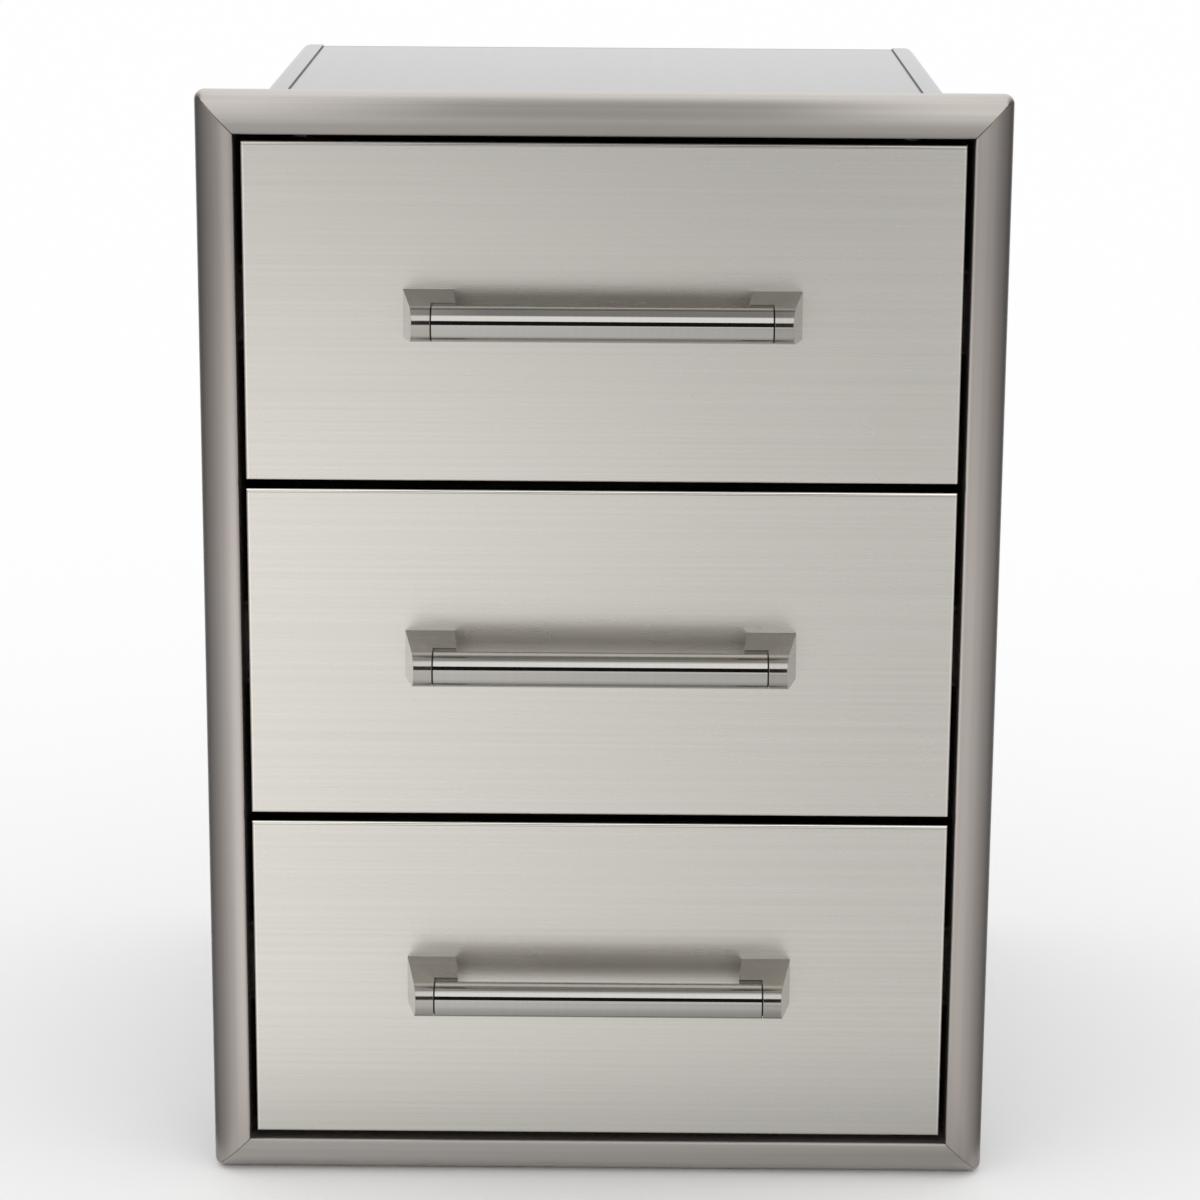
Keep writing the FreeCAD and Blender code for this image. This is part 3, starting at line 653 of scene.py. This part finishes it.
def circle(radius: float, segments: int) -> Points:
    """Return points round a circle."""
    return arc((0.0, 0.0), radius, 0.0, 360.0, segments)[:-1]


def outline(work: Work, points: Profile, height: float, place: Matrix) -> Ring:
    """Add points at one height over a placement and return them."""
    return [work.verts.new(place @ Vector((x, y, height))) for x, y in points]


def join_rings(work: Work, lower: Ring, upper: Ring) -> None:
    """Add the faces between two rings, of which one may be the same point all round.

    Args:
        work: The work mesh to add to.
        lower: The first ring.
        upper: The second ring, with as many points.
    """
    for i in range(len(lower)):
        j = (i + 1) % len(lower)
        work.faces.new(list(dict.fromkeys((lower[i], lower[j], upper[j], upper[i]))))


def turned(work: Work, profile: Profile, place: Matrix, segments: int) -> None:
    """Add a turned shape.

    Args:
        work: The work mesh to add to.
        profile: Height along the axis and radius of each point, in metres.
        place: Placement of the axis, which is Z.
        segments: Number of steps round the axis.
    """
    rings = []
    for height, radius in profile:
        if radius == 0.0:
            rings.append(outline(work, [(0.0, 0.0)], height, place) * segments)
        else:
            rings.append(outline(work, circle(radius, segments), height, place))
    for lower, upper in zip(rings, rings[1:]):
        join_rings(work, lower, upper)


def soften(thing: bpy.types.Object, width: float) -> None:
    """Break the sharp edges of a piece.

    Args:
        thing: The piece's object.
        width: Width of the broken edges, in metres.
    """
    bevel = thing.modifiers.new("broken_edges", "BEVEL")
    bevel.width = width
    bevel.segments = 2
    bevel.limit_method = "ANGLE"
    bevel.angle_limit = math.radians(SHARP_DEGREES)
    bevel.harden_normals = True


@dataclass
class Piece:
    """One piece of the unit with its finish, its body and the node that it stands for."""

    name: str
    body: str
    slot: str
    material: Material
    stands_for: tuple[str, ...] = ()

    def place(self, work: Work, sharp_degrees: float = SHARP_DEGREES) -> bpy.types.Object:
        """Put the piece in the scene, smooth over its curves and sharp at its edges.

        Args:
            work: The piece's work mesh, in metres, which is used up.
            sharp_degrees: Edges that turn further than this stay sharp.

        Returns:
            The piece's object.
        """
        bmesh.ops.recalc_face_normals(work, faces=work.faces)
        mesh = plain_mesh(self.name, work)
        mesh.shade_smooth()
        mesh.set_sharp_from_angle(angle=math.radians(sharp_degrees))
        mesh.materials.append(self.material)
        thing = put_in_scene(self.name, mesh)
        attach(thing, self.body)
        if self.stands_for:
            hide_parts(*self.stands_for)
        LOG.info("placed %s on %s", self.name, self.body)
        return thing

    def place_softened(self, width: float) -> None:
        """Put a copy of the piece's node in the scene with its sharp edges broken.

        Args:
            width: Width of the broken edges, in metres.
        """
        work = bmesh.new()
        work.from_mesh(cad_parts[self.stands_for[0]].data)
        bmesh.ops.remove_doubles(work, verts=work.verts, dist=1e-6)
        bmesh.ops.dissolve_limit(work, angle_limit=math.radians(0.5), verts=work.verts,
                                 edges=work.edges)
        soften(self.place(work, sharp_degrees=180.0), width)


def dress(node: str, material: Material) -> None:
    """Give a node of the frame its finish.

    Args:
        node: The node's name.
        material: The finish.
    """
    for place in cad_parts[node].material_slots:
        place.material = material
    LOG.info("dressed %s", node)


def fasteners(node: str, kind: str, body: str, finishes: Palette) -> Piece:
    """Return the piece that stands for a node of fasteners."""
    return Piece(f"{node}_{kind}", body, "fastener_steel", finishes["fastener"], (node,))


# Sub-assemblies


@dataclass
class TrimFrame:
    """The rolled trim frame: two rails and two stiles, mitred, and the rivets that hold it.

    A section is drawn as pairs: how far in from the frame's outer edge, and how far back. The
    rivets' tail is height and radius of its points, in millimetres.
    """

    finishes: Palette
    half_width: float = 0.5 * FRAME_WIDTH
    half_height: float = 0.5 * FRAME_HEIGHT
    face: float = FRAME_FACE
    corner: float = 5.0 * MM
    proud: float = 22.0 * MM
    rounding: float = 18.5 * MM
    inner_bend: float = 1.5 * MM
    sheet: float = 1.0 * MM
    seat: float = 8.0 * MM
    flange_rear: float = 20.0 * MM
    seam_width: float = 0.45 * MM
    seam_depth: float = 0.40 * MM
    corner_steps: int = 8
    outer_steps: int = 24
    bend_steps: int = 8
    inner_steps: int = 10
    rivet_y: float = 12.0 * MM
    rivet_rises: tuple[float, float] = (-31.5 * MM, 34.5 * MM)
    head_radius: float = 3.2 * MM
    head_height: float = 0.9 * MM
    stem_radius: float = 0.95 * MM
    stem_tip_radius: float = 0.85 * MM
    stem_sink: float = 0.55
    shank_radius: float = 1.6 * MM
    tail: Profile = ((2.0, 1.6), (2.25, 2.3), (3.2, 2.45), (4.2, 2.0), (4.7, 1.2), (5.0, 0.0))
    dome_angles: tuple[float, ...] = (22.0, 40.0, 58.0, 74.0, 90.0)
    rivet_segments: int = 32

    def build(self) -> None:
        """Build the four lengths of the frame and its rivets."""
        for place, finish, outward in (("top", "rail", 1.0), ("bottom", "rail", -1.0),
                                       ("left", "stile", -1.0), ("right", "stile", 1.0)):
            node = f"frame_{place}_{finish}"
            piece = Piece(node + "_rolled", "cabinet", "trim_steel", self.finishes[finish], (node,))
            piece.place(self.length(finish == "stile", outward))
        self.build_rivets()

    def roll_centre(self) -> tuple[float, float]:
        """Return the centre of the rolled face's arc."""
        return self.rounding, self.rounding - self.proud

    def face_section(self) -> Points:
        """Return the outer face of the section.

        Returns:
            Its points, from the wall to the opening.
        """
        bend_centre = (self.face - self.inner_bend, self.inner_bend - self.proud)
        points = arc(self.roll_centre(), self.rounding, 180.0, 270.0, self.outer_steps)
        return points + arc(bend_centre, self.inner_bend, 270.0, 360.0, self.bend_steps)

    def rest_of_section(self) -> Points:
        """Return the rest of the section.

        Returns:
            The points of the flange, the inner face and the seat on the wall.
        """
        inner = self.face - self.sheet
        flange = [(self.face, self.flange_rear), (inner, self.flange_rear),
                  (inner, self.sheet - self.proud)]
        back = arc(self.roll_centre(), self.rounding - self.sheet, 270.0, 180.0, self.inner_steps)
        foot = [(self.sheet, -self.sheet), (self.seat, -self.sheet), (self.seat, 0.0), (0.0, 0.0)]
        return flange + back + foot

    def row(self, inset: float, half_along: float, half_across: float, end_inset: float) -> Points:
        """Return the points of one lengthwise line of the surface, from mitre to mitre.

        Args:
            inset: Distance of the line from the frame's outer edge.
            half_along: Half of the frame's size along the line.
            half_across: Half of the frame's size across it.
            end_inset: Distance from the outer edge at the two ends, deeper by the seam.

        Returns:
            Place along the line and across it of each point.
        """
        end = []
        for i in range(self.corner_steps + 1):
            depth = end_inset if i == self.corner_steps else inset
            radius = self.corner - depth
            if radius > 0.0:
                angle = math.radians(45.0 * i / self.corner_steps)
                end.append((half_along - self.corner + radius * math.sin(angle),
                            half_across - self.corner + radius * math.cos(angle)))
            else:
                back = (self.corner_steps - i) * self.seam_width
                end.append((half_along - depth - back, half_across - depth))
        return [(-a, b) for a, b in reversed(end)] + end

    def length(self, upright: bool, outward: float) -> Work:
        """Build one length of the frame.

        Args:
            upright: Whether it is a stile.
            outward: 1 for the length at the right or top, -1 for the one at the left or bottom.

        Returns:
            Its closed work mesh, with a fine groove at both mitres.
        """
        faces = self.face_section()
        centre = self.roll_centre()
        halves = (self.half_width, self.half_height)[::-1 if upright else 1]
        work = bmesh.new()
        grid = []
        for inset, depth in faces + self.rest_of_section():
            sunk = (inset, depth)
            if (inset, depth) in faces:
                way = Vector((min(centre[0], inset) - centre[0], min(centre[1], depth) - centre[1]))
                way = way.normalized() * self.seam_depth
                sunk = (inset - way.x, depth - way.y)
            points = self.row(inset, *halves, sunk[0])
            line = []
            for i, (along, across) in enumerate(points):
                y = sunk[1] if i in (0, len(points) - 1) else depth
                x, z = (outward * across, along) if upright else (along, outward * across)
                line.append(work.verts.new((x, y, z + self.half_height)))
            grid.append(line)
        for line, after in zip(grid, grid[1:] + grid[:1]):
            for i in range(len(line) - 1):
                work.faces.new((line[i], line[i + 1], after[i + 1], after[i]))
        for end in (0, -1):
            work.faces.new([line[end] for line in grid])
        return work

    def build_rivets(self) -> None:
        """Build the blind rivets with domed heads, their stem ends and swollen tails."""
        head, sunk = self.head_height, self.stem_sink * self.head_height
        profile = [(-sunk, 0.0), (-sunk, self.stem_tip_radius), (-head, self.stem_radius)]
        profile += [(-head * math.cos(a), self.head_radius * math.sin(a))
                    for a in map(math.radians, self.dome_angles)]
        profile += [(0.0, self.shank_radius)]
        profile += [(height * MM, radius * MM) for height, radius in self.tail]
        work = bmesh.new()
        for bottom in FRONT_BOTTOMS.values():
            for rise in self.rivet_rises:
                for side in SIDES.values():
                    seat = (side * (self.half_width - self.face), self.rivet_y,
                            bottom + SLIDE_RISE + rise)
                    turned(work, profile, aimed(seat, (side, 0.0, 0.0)), self.rivet_segments)
        fasteners("frame_rivets", "domed", "cabinet", self.finishes).place(work)


@dataclass
class Screws:
    """Pan-head screws with a cross recess, of the slides' size where no other is given.

    The shoulder and the recess are shares of the head's height and radius.
    """

    node: str
    body: str
    finishes: Palette
    head_radius: float = 4.0 * MM
    head_height: float = 2.2 * MM
    shank_radius: float = 2.0 * MM
    shank_length: float = 2.1 * MM
    shoulder_share: float = 0.55
    thread_start: float = 0.6 * MM
    thread_pitch: float = 0.8 * MM
    thread_depth: float = 0.22 * MM
    tip_length: float = 0.3 * MM
    tip_depth: float = 0.4 * MM
    recess_length: float = 0.52
    recess_width: float = 0.13
    recess_floor: float = 0.35
    recess_taper: float = 0.6
    shoulder_angles: tuple[float, ...] = (70.0, 50.0, 30.0, 12.0, 0.0)
    segments: int = 40

    def build(self, places: Sequence[tuple[Point, Point]]) -> None:
        """Build one screw at each place.

        Args:
            places: Seat of the head, in metres, and direction of the shank.
        """
        work = bmesh.new()
        for seat, way in places:
            self.add_body(work, aimed(seat, way))
            self.add_top(work, aimed(seat, way))
        bmesh.ops.remove_doubles(work, verts=work.verts, dist=1e-7)
        fasteners(self.node, "pan_head", self.body, self.finishes).place(work, sharp_degrees=28.0)

    def shoulder(self) -> float:
        """Return the radius of the head's rounded shoulder."""
        return self.shoulder_share * self.head_height

    def add_body(self, work: Work, place: Matrix) -> None:
        """Add the round of the head and the threaded shank of one screw.

        Args:
            work: The work mesh to add to.
            place: Placement of the screw, whose shank runs up the Z axis.
        """
        round_off, length, radius = self.shoulder(), self.shank_length, self.shank_radius
        crown = self.head_radius - round_off
        profile = [(-self.head_height, crown)]
        profile += [(round_off * (1 - math.sin(a)) - self.head_height, crown + round_off * math.cos(a))
                    for a in map(math.radians, self.shoulder_angles)]
        profile += [(0.0, self.head_radius), (0.0, radius)]
        height = self.thread_start
        while height + self.thread_pitch < length:
            profile += [(height, radius), (height + 0.5 * self.thread_pitch, radius - self.thread_depth)]
            height += self.thread_pitch
        profile += [(length - self.tip_length, radius), (length, radius - self.tip_depth), (length, 0.0)]
        turned(work, profile, place, self.segments)

    def add_top(self, work: Work, place: Matrix) -> None:
        """Add the flat top of one screw's head, with its cross recess.

        Args:
            work: The work mesh to add to.
            place: Placement of the screw.
        """
        long, short = self.recess_length * self.head_radius, self.recess_width * self.head_radius
        arm = ((long, -short), (long, short), (short, short))
        cross = [(x * cos - y * sin, x * sin + y * cos)
                 for cos, sin in ((1, 0), (0, 1), (-1, 0), (0, -1)) for x, y in arm]
        floor = [(self.recess_taper * x, self.recess_taper * y) for x, y in cross]
        crown = circle(self.head_radius - self.shoulder(), self.segments)
        rim, mouth = (outline(work, points, -self.head_height, place) for points in (crown, cross))
        edges = [work.edges.new(pair) for ring in (rim, mouth) for pair in zip(ring, ring[1:] + ring[:1])]
        bmesh.ops.triangle_fill(work, edges=edges, use_beauty=True)
        ground = outline(work, floor, -self.recess_floor * self.head_height, place)
        join_rings(work, mouth, ground)
        work.faces.new(ground)


@dataclass
class Box:
    """The folded box behind the wall, with the fasteners and bumpers on it."""

    finishes: Palette
    outer_x: float = 196.5 * MM
    screw_depths: tuple[float, float] = (57.0 * MM, 376.0 * MM)
    bumper_edge: float = 0.9 * MM

    def build(self) -> None:
        """Dress the panels and build the screws and bumpers."""
        for node in ("left_side_panel", "right_side_panel", "top_panel", "bottom_panel", "back_panel"):
            dress(node, self.finishes["box"])
        Screws("cabinet_slide_screws", "cabinet", self.finishes).build(
            [((side * self.outer_x, y, bottom + SLIDE_RISE), (-side, 0.0, 0.0))
             for side in SIDES.values() for y in self.screw_depths for bottom in FRONT_BOTTOMS.values()])
        bumpers = Piece("closing_bumpers_moulded", "cabinet", "bumper_rubber",
                        self.finishes["rubber"], ("closing_bumpers",))
        bumpers.place_softened(self.bumper_edge)


@dataclass
class Bracket:
    """A cast bracket: a foot that leans in over the bar, a collar and a spigot inside the bar.

    Its outline is drawn as seen from the side: how far back, and how high over the bar's axis.
    """

    side: float
    height: float
    foot_y: float = -18.8 * MM
    axis_y: float = BAR_Y
    radius: float = BAR_RADIUS
    foot_half: float = 13.0 * MM
    foot_x: float = 105.9 * MM
    front_x: float = 99.4 * MM
    foot_width: float = 26.7 * MM
    inner_lean: float = 5.5
    collar_x: float = 89.7 * MM
    saddle: float = 11.7 * MM
    spigot_radius: float = 7.95 * MM
    spigot_length: float = 14.0 * MM
    spigot_sink: float = 1.0 * MM
    nose_steps: int = 48
    saddle_steps: int = 36

    def outer_x(self, y: float) -> float:
        """Return where the outer side lies at a depth."""
        reach = self.foot_y - self.axis_y + self.radius
        return self.foot_x - (self.foot_x - self.front_x) * (self.foot_y - y) / reach

    def inner_x(self, y: float) -> float:
        """Return where the inner side lies at a depth."""
        lean = math.tan(math.radians(self.inner_lean))
        return self.foot_x - self.foot_width - (self.foot_y - y) * lean

    def cast(self) -> Work:
        """Build the bracket.

        Returns:
            Its work mesh, without the spigot.
        """
        out = self.foot_y - self.axis_y
        to_axis = math.hypot(out, self.foot_half)
        taper = math.atan2(self.foot_half, out) - math.asin(self.radius / to_axis)
        touch = 90.0 + math.degrees(taper)
        nose = arc((self.axis_y, 0.0), self.radius, touch, 360.0 - touch, self.nose_steps)
        past = math.sqrt(self.saddle ** 2 - self.radius ** 2)
        edge = (nose[0][0] + past * math.cos(taper), nose[0][1] + past * math.sin(taper))
        open_angle = math.degrees(math.atan2(edge[1], edge[0] - self.axis_y))
        saddle = arc((self.axis_y, 0.0), self.saddle, open_angle, -open_angle, self.saddle_steps)
        foot = [(self.foot_y, self.foot_half), (self.foot_y, -self.foot_half)]
        work = bmesh.new()

        def line(points: Profile, x_of: Callable[[float], float]) -> Ring:
            """Add the points of an outline, at an x that depends on their depth."""
            return [work.verts.new((self.side * x_of(y), y, self.height + z)) for y, z in points]

        foot_outer, foot_inner = line(foot, self.outer_x), line(foot, self.inner_x)
        nose_outer, nose_collar = line(nose, self.outer_x), line(nose, lambda y: self.collar_x)
        saddle_inner, saddle_collar = line(saddle, self.inner_x), line(saddle, lambda y: self.collar_x)
        flats = [[foot_outer[0], *nose_outer, foot_outer[1]],
                 [foot_inner[0], *saddle_inner, foot_inner[1]],
                 [*foot_outer, *reversed(foot_inner)],
                 [*nose_collar, *reversed(saddle_collar)]]
        flats += [[foot_inner[i], foot_outer[i], nose_outer[j], nose_collar[j], saddle_collar[j],
                   saddle_inner[j]] for i, j in ((0, 0), (1, -1))]
        for flat in flats:
            work.faces.new(flat)
        for near, far in ((nose_outer, nose_collar), (saddle_inner, saddle_collar)):
            for i in range(len(near) - 1):
                work.faces.new((near[i], near[i + 1], far[i + 1], far[i]))
        return work

    def spigot(self) -> Work:
        """Build the bracket's spigot, which fills the bar's end.

        Returns:
            Its work mesh.
        """
        profile = [(0.0, 0.0), (0.0, self.spigot_radius), (self.spigot_length, self.spigot_radius),
                   (self.spigot_length, 0.0)]
        start = (self.side * (self.collar_x + self.spigot_sink), self.axis_y, self.height)
        work = bmesh.new()
        turned(work, profile, aimed(start, (-self.side, 0.0, 0.0)), self.nose_steps)
        return work


@dataclass
class Handle:
    """A bar handle: a tube between two leaning brackets."""

    drawer: str
    height: float
    finishes: Palette
    axis_y: float = BAR_Y
    radius: float = BAR_RADIUS
    half_length: float = 89.3 * MM
    bore: float = 8.0 * MM
    edge: float = 0.06 * MM
    edge_angles: tuple[float, ...] = (60.0, 30.0, 0.0)
    bracket_edge: float = 0.15 * MM
    segments: int = 144

    def build(self) -> None:
        """Build the bar and the two brackets."""
        half, outer, inner, edge = self.half_length, self.radius, self.bore, self.edge
        end = [(-half, outer - edge)]
        end += [(-half + edge * (1 - math.sin(a)), outer - edge * (1 - math.cos(a)))
                for a in map(math.radians, self.edge_angles)]
        end += [(-half + 2 * edge, outer), (-half + 3 * edge, outer)]
        profile = [(-half, inner + edge)] + end + [(-x, r) for x, r in reversed(end)]
        profile += [(half, inner + edge), (half - edge, inner), (edge - half, inner), profile[0]]
        work = bmesh.new()
        turned(work, profile, aimed((0.0, self.axis_y, self.height), (1.0, 0.0, 0.0)), self.segments)
        bmesh.ops.remove_doubles(work, verts=work.verts, dist=1e-7)
        body = self.drawer + "_drawer"
        Piece(self.drawer + "_handle_tube", body, "handle_steel", self.finishes["handle"],
              (self.drawer + "_handle_bar",)).place(work)
        for name, side in SIDES.items():
            node = f"{self.drawer}_{name}_handle_bracket"
            shape = Bracket(side, self.height)
            bracket = Piece(node + "_cast", body, "handle_steel", self.finishes["bracket"], (node,))
            soften(bracket.place(shape.cast()), self.bracket_edge)
            # The spigot's near-black finish is painted shade in the joint.
            spigot = Piece(node + "_spigot", body, "handle_steel", self.finishes["joint"])
            spigot.place(shape.spigot())


@dataclass
class Slides:
    """A drawer's pair of telescoping slides with their rows of balls."""

    drawer: str
    middle: float
    finishes: Palette
    ball_radius: float = 1.6 * MM
    balls_in_row: int = 12
    first_ball: float = 244.1 * MM
    last_ball: float = 392.1 * MM
    outer_row: tuple[float, float] = (191.1 * MM, 19.75 * MM)
    inner_row: tuple[float, float] = (186.8 * MM, 17.65 * MM)

    def build(self) -> None:
        """Dress the members and cages and build the balls."""
        for side in SIDES:
            for member in ("cabinet", "middle", "drawer"):
                dress(f"{self.drawer}_{side}_{member}_member", self.finishes["slide"])
        for kind, row in (("outer", self.outer_row), ("inner", self.inner_row)):
            dress(f"{self.drawer}_{kind}_ball_cages", self.finishes["cage"])
            self.build_balls(kind, row)

    def build_balls(self, kind: str, row: tuple[float, float]) -> None:
        """Build the balls that one pair of cages carries.

        Args:
            kind: "outer" or "inner".
            row: Distance of the rows from the unit's middle, and from the slide's middle.
        """
        work = bmesh.new()
        pitch = (self.last_ball - self.first_ball) / (self.balls_in_row - 1)
        for side in SIDES.values():
            for above in (-1.0, 1.0):
                for i in range(self.balls_in_row):
                    centre = (side * row[0], self.first_ball + i * pitch, self.middle + above * row[1])
                    bmesh.ops.create_icosphere(work, subdivisions=2, radius=self.ball_radius,
                                               matrix=Matrix.Translation(centre))
        piece = Piece(f"{self.drawer}_{kind}_balls", f"{self.drawer}_{kind}_cages", "slide_steel",
                      self.finishes["ball"])
        piece.place(work, sharp_degrees=60.0)


@dataclass
class Drawer:
    """A drawer: its front, tray, handle, slides and screws."""

    name: str
    bottom: float
    finishes: Palette
    handle_rise: float = 0.5 * FRONT_HEIGHT
    slide_rise: float = SLIDE_RISE
    tray_inner_x: float = 181.8 * MM
    slide_screw_depths: tuple[float, float] = (56.2 * MM, 359.2 * MM)
    handle_screw_x: float = 92.55 * MM
    handle_screw_y: float = 1.2 * MM

    def build(self) -> None:
        """Dress the sheet parts and build the handle, slides and screws."""
        for node, finish in (("front_skin", "front"), ("front_liner", "liner"), ("tray", "tray")):
            dress(f"{self.name}_{node}", self.finishes[finish])
        height, middle = self.bottom + self.handle_rise, self.bottom + self.slide_rise
        Handle(self.name, height, self.finishes).build()
        Slides(self.name, middle, self.finishes).build()
        body = self.name + "_drawer"
        Screws(self.name + "_drawer_slide_screws", body, self.finishes).build(
            [((side * self.tray_inner_x, y, middle), (side, 0.0, 0.0))
             for side in SIDES.values() for y in self.slide_screw_depths])
        Screws(self.name + "_handle_screws", body, self.finishes, head_radius=4.75 * MM,
               head_height=2.8 * MM, shank_radius=2.5 * MM, shank_length=31.0 * MM).build(
            [((side * self.handle_screw_x, self.handle_screw_y, height), (0.0, -1.0, 0.0))
             for side in SIDES.values()])


# Studio


@dataclass(frozen=True)
class Card:
    """A flat card that the steel reflects and the camera does not see."""

    name: str
    centre: Point
    across: Point
    up: Point
    brightness: float
    fades: tuple[Fade, ...] = ()

    def build(self) -> None:
        """Put the card in the scene."""
        shader = Shader(self.name)
        colour = WHITE
        if self.fades:
            share = 1.0
            for fade in self.fades:
                share = fade.shade(shader) * share
            colour = shader.mixed(share, BLACK, WHITE)
        mesh = rectangle(self.name, self.centre, self.across, self.up)
        mesh.materials.append(shader.finished(
            "ShaderNodeEmission", {"Color": colour, "Strength": self.brightness}))
        card = put_in_scene(self.name, mesh)
        card.visible_camera = False
        card.visible_diffuse = False
        card.visible_shadow = False


def side_flag(name: str, side: float, front_shade: float, rear_shade: float) -> Card:
    """Return the card that a stile's outer side reflects, with its shades towards the back."""
    fades = (Fade(Axis.Y, -0.142, -0.030, 1.0, front_shade), Fade(Axis.Y, -0.021, 0.028, 1.0, rear_shade))
    return Card(name, (side * 0.240, -0.056, 0.39), (0.0, 0.086, 0.0), (0.0, 0.0, 0.41), 0.92, fades)


@dataclass
class Studio:
    """The pale floor, the soft light, the reflecting cards and the camera.

    Places are in metres and angles in radians.
    """

    floor_half: float = 30.0
    floor_colour: Colour = (0.995, 0.995, 0.995)
    world_strength: float = 1.0
    camera_place: Point = (0.008863, -1.966825, 0.821392)
    pitch: float = 0.2456
    yaw: float = -0.00482
    roll: float = 0.00606
    focal_pixels: float = 3718.45
    image_pixels: float = 1200.0
    sensor: float = 36.0
    cards: tuple[Card, ...] = (
        Card("black_flag", (0.0, -2.05, 1.05), (0.46, 0.0, 0.0), (0.0, 0.0, 0.50), 1.0,
             (Fade(Axis.X, 0.26, 0.46, 0.012, 1.0, both_ways=True),)),
        Card("soft_window", (0.0, -1.62, 2.00), (0.9, 0.0, 0.0), (0.0, 0.43, 0.45), 1.45),
        Card("overhead_card", (0.0, -0.0675, 0.655), (0.26, 0.0, 0.0), (0.0, 0.0675, 0.0), 1.0,
             (Fade(Axis.X, -0.20, -0.07, 1.0, 0.38), Fade(Axis.X, 0.09, 0.19, 1.0, 2.63))),
        Card("upper_card", (0.0, -0.205, 1.20), (0.5, 0.0, 0.0), (0.0, 0.155, 0.0), 0.42),
        side_flag("left_flag", -1.0, 0.50, 0.22),
        side_flag("right_flag", 1.0, 0.55, 0.20),
        Card("floor_sheen", (0.0, -2.5, 0.002), (2.5, 0.0, 0.0), (0.0, 2.48, 0.0), 1.18,
             (Fade(Axis.X, -0.40, -0.02, 1.0, 0.76), Fade(Axis.X, -0.02, 0.36, 1.0, 0.73),
              Fade(Axis.Y, -0.24, -0.05, 1.0, 0.62))),
    )

    def build(self) -> None:
        """Build the whole studio."""
        self.build_floor()
        self.build_world()
        for card in self.cards:
            card.build()
        self.build_camera()
        bpy.context.scene.view_settings.view_transform = "Standard"

    def build_floor(self) -> None:
        """Lay the plain pale floor."""
        mesh = rectangle("studio_floor", (0.0, 0.0, 0.0), (self.floor_half, 0.0, 0.0),
                         (0.0, self.floor_half, 0.0))
        mesh.materials.append(Shader("studio_floor_paint").principled({
            "Base Color": self.floor_colour,
            "Roughness": 0.9,
            "Specular IOR Level": 0.0,
        }))
        put_in_scene("studio_floor", mesh)

    def build_world(self) -> None:
        """Fill the room with soft white light."""
        world = bpy.data.worlds.new("studio_light")
        world.use_nodes = True
        background = world.node_tree.nodes["Background"]
        background.inputs["Color"].default_value = (*WHITE, 1.0)
        background.inputs["Strength"].default_value = self.world_strength
        bpy.context.scene.world = world

    def build_camera(self) -> None:
        """Place the camera as the photograph was taken."""
        camera = bpy.data.cameras.new("camera")
        camera.sensor_width = self.sensor
        camera.lens = self.focal_pixels * self.sensor / self.image_pixels
        camera.clip_start = 0.05
        camera.clip_end = 100.0
        thing = put_in_scene("camera", camera)
        turn = Matrix.Rotation(-self.yaw, 4, "Z") @ Matrix.Rotation(math.pi / 2 - self.pitch, 4, "X")
        turn = turn @ Matrix.Rotation(self.roll, 4, "Z")
        thing.matrix_world = Matrix.Translation(self.camera_place) @ turn
        bpy.context.scene.camera = thing


def main() -> None:
    """Build the unit and its studio."""
    logging.basicConfig(level=logging.INFO, format="%(name)s: %(message)s")
    finishes = Finishes().build()
    assemblies = [Studio(), TrimFrame(finishes), Box(finishes)]
    assemblies += [Drawer(name, bottom, finishes) for name, bottom in FRONT_BOTTOMS.items()]
    for assembly in assemblies:
        assembly.build()
        LOG.info("built %s", type(assembly).__name__)


if __name__ == "__main__":
    main()
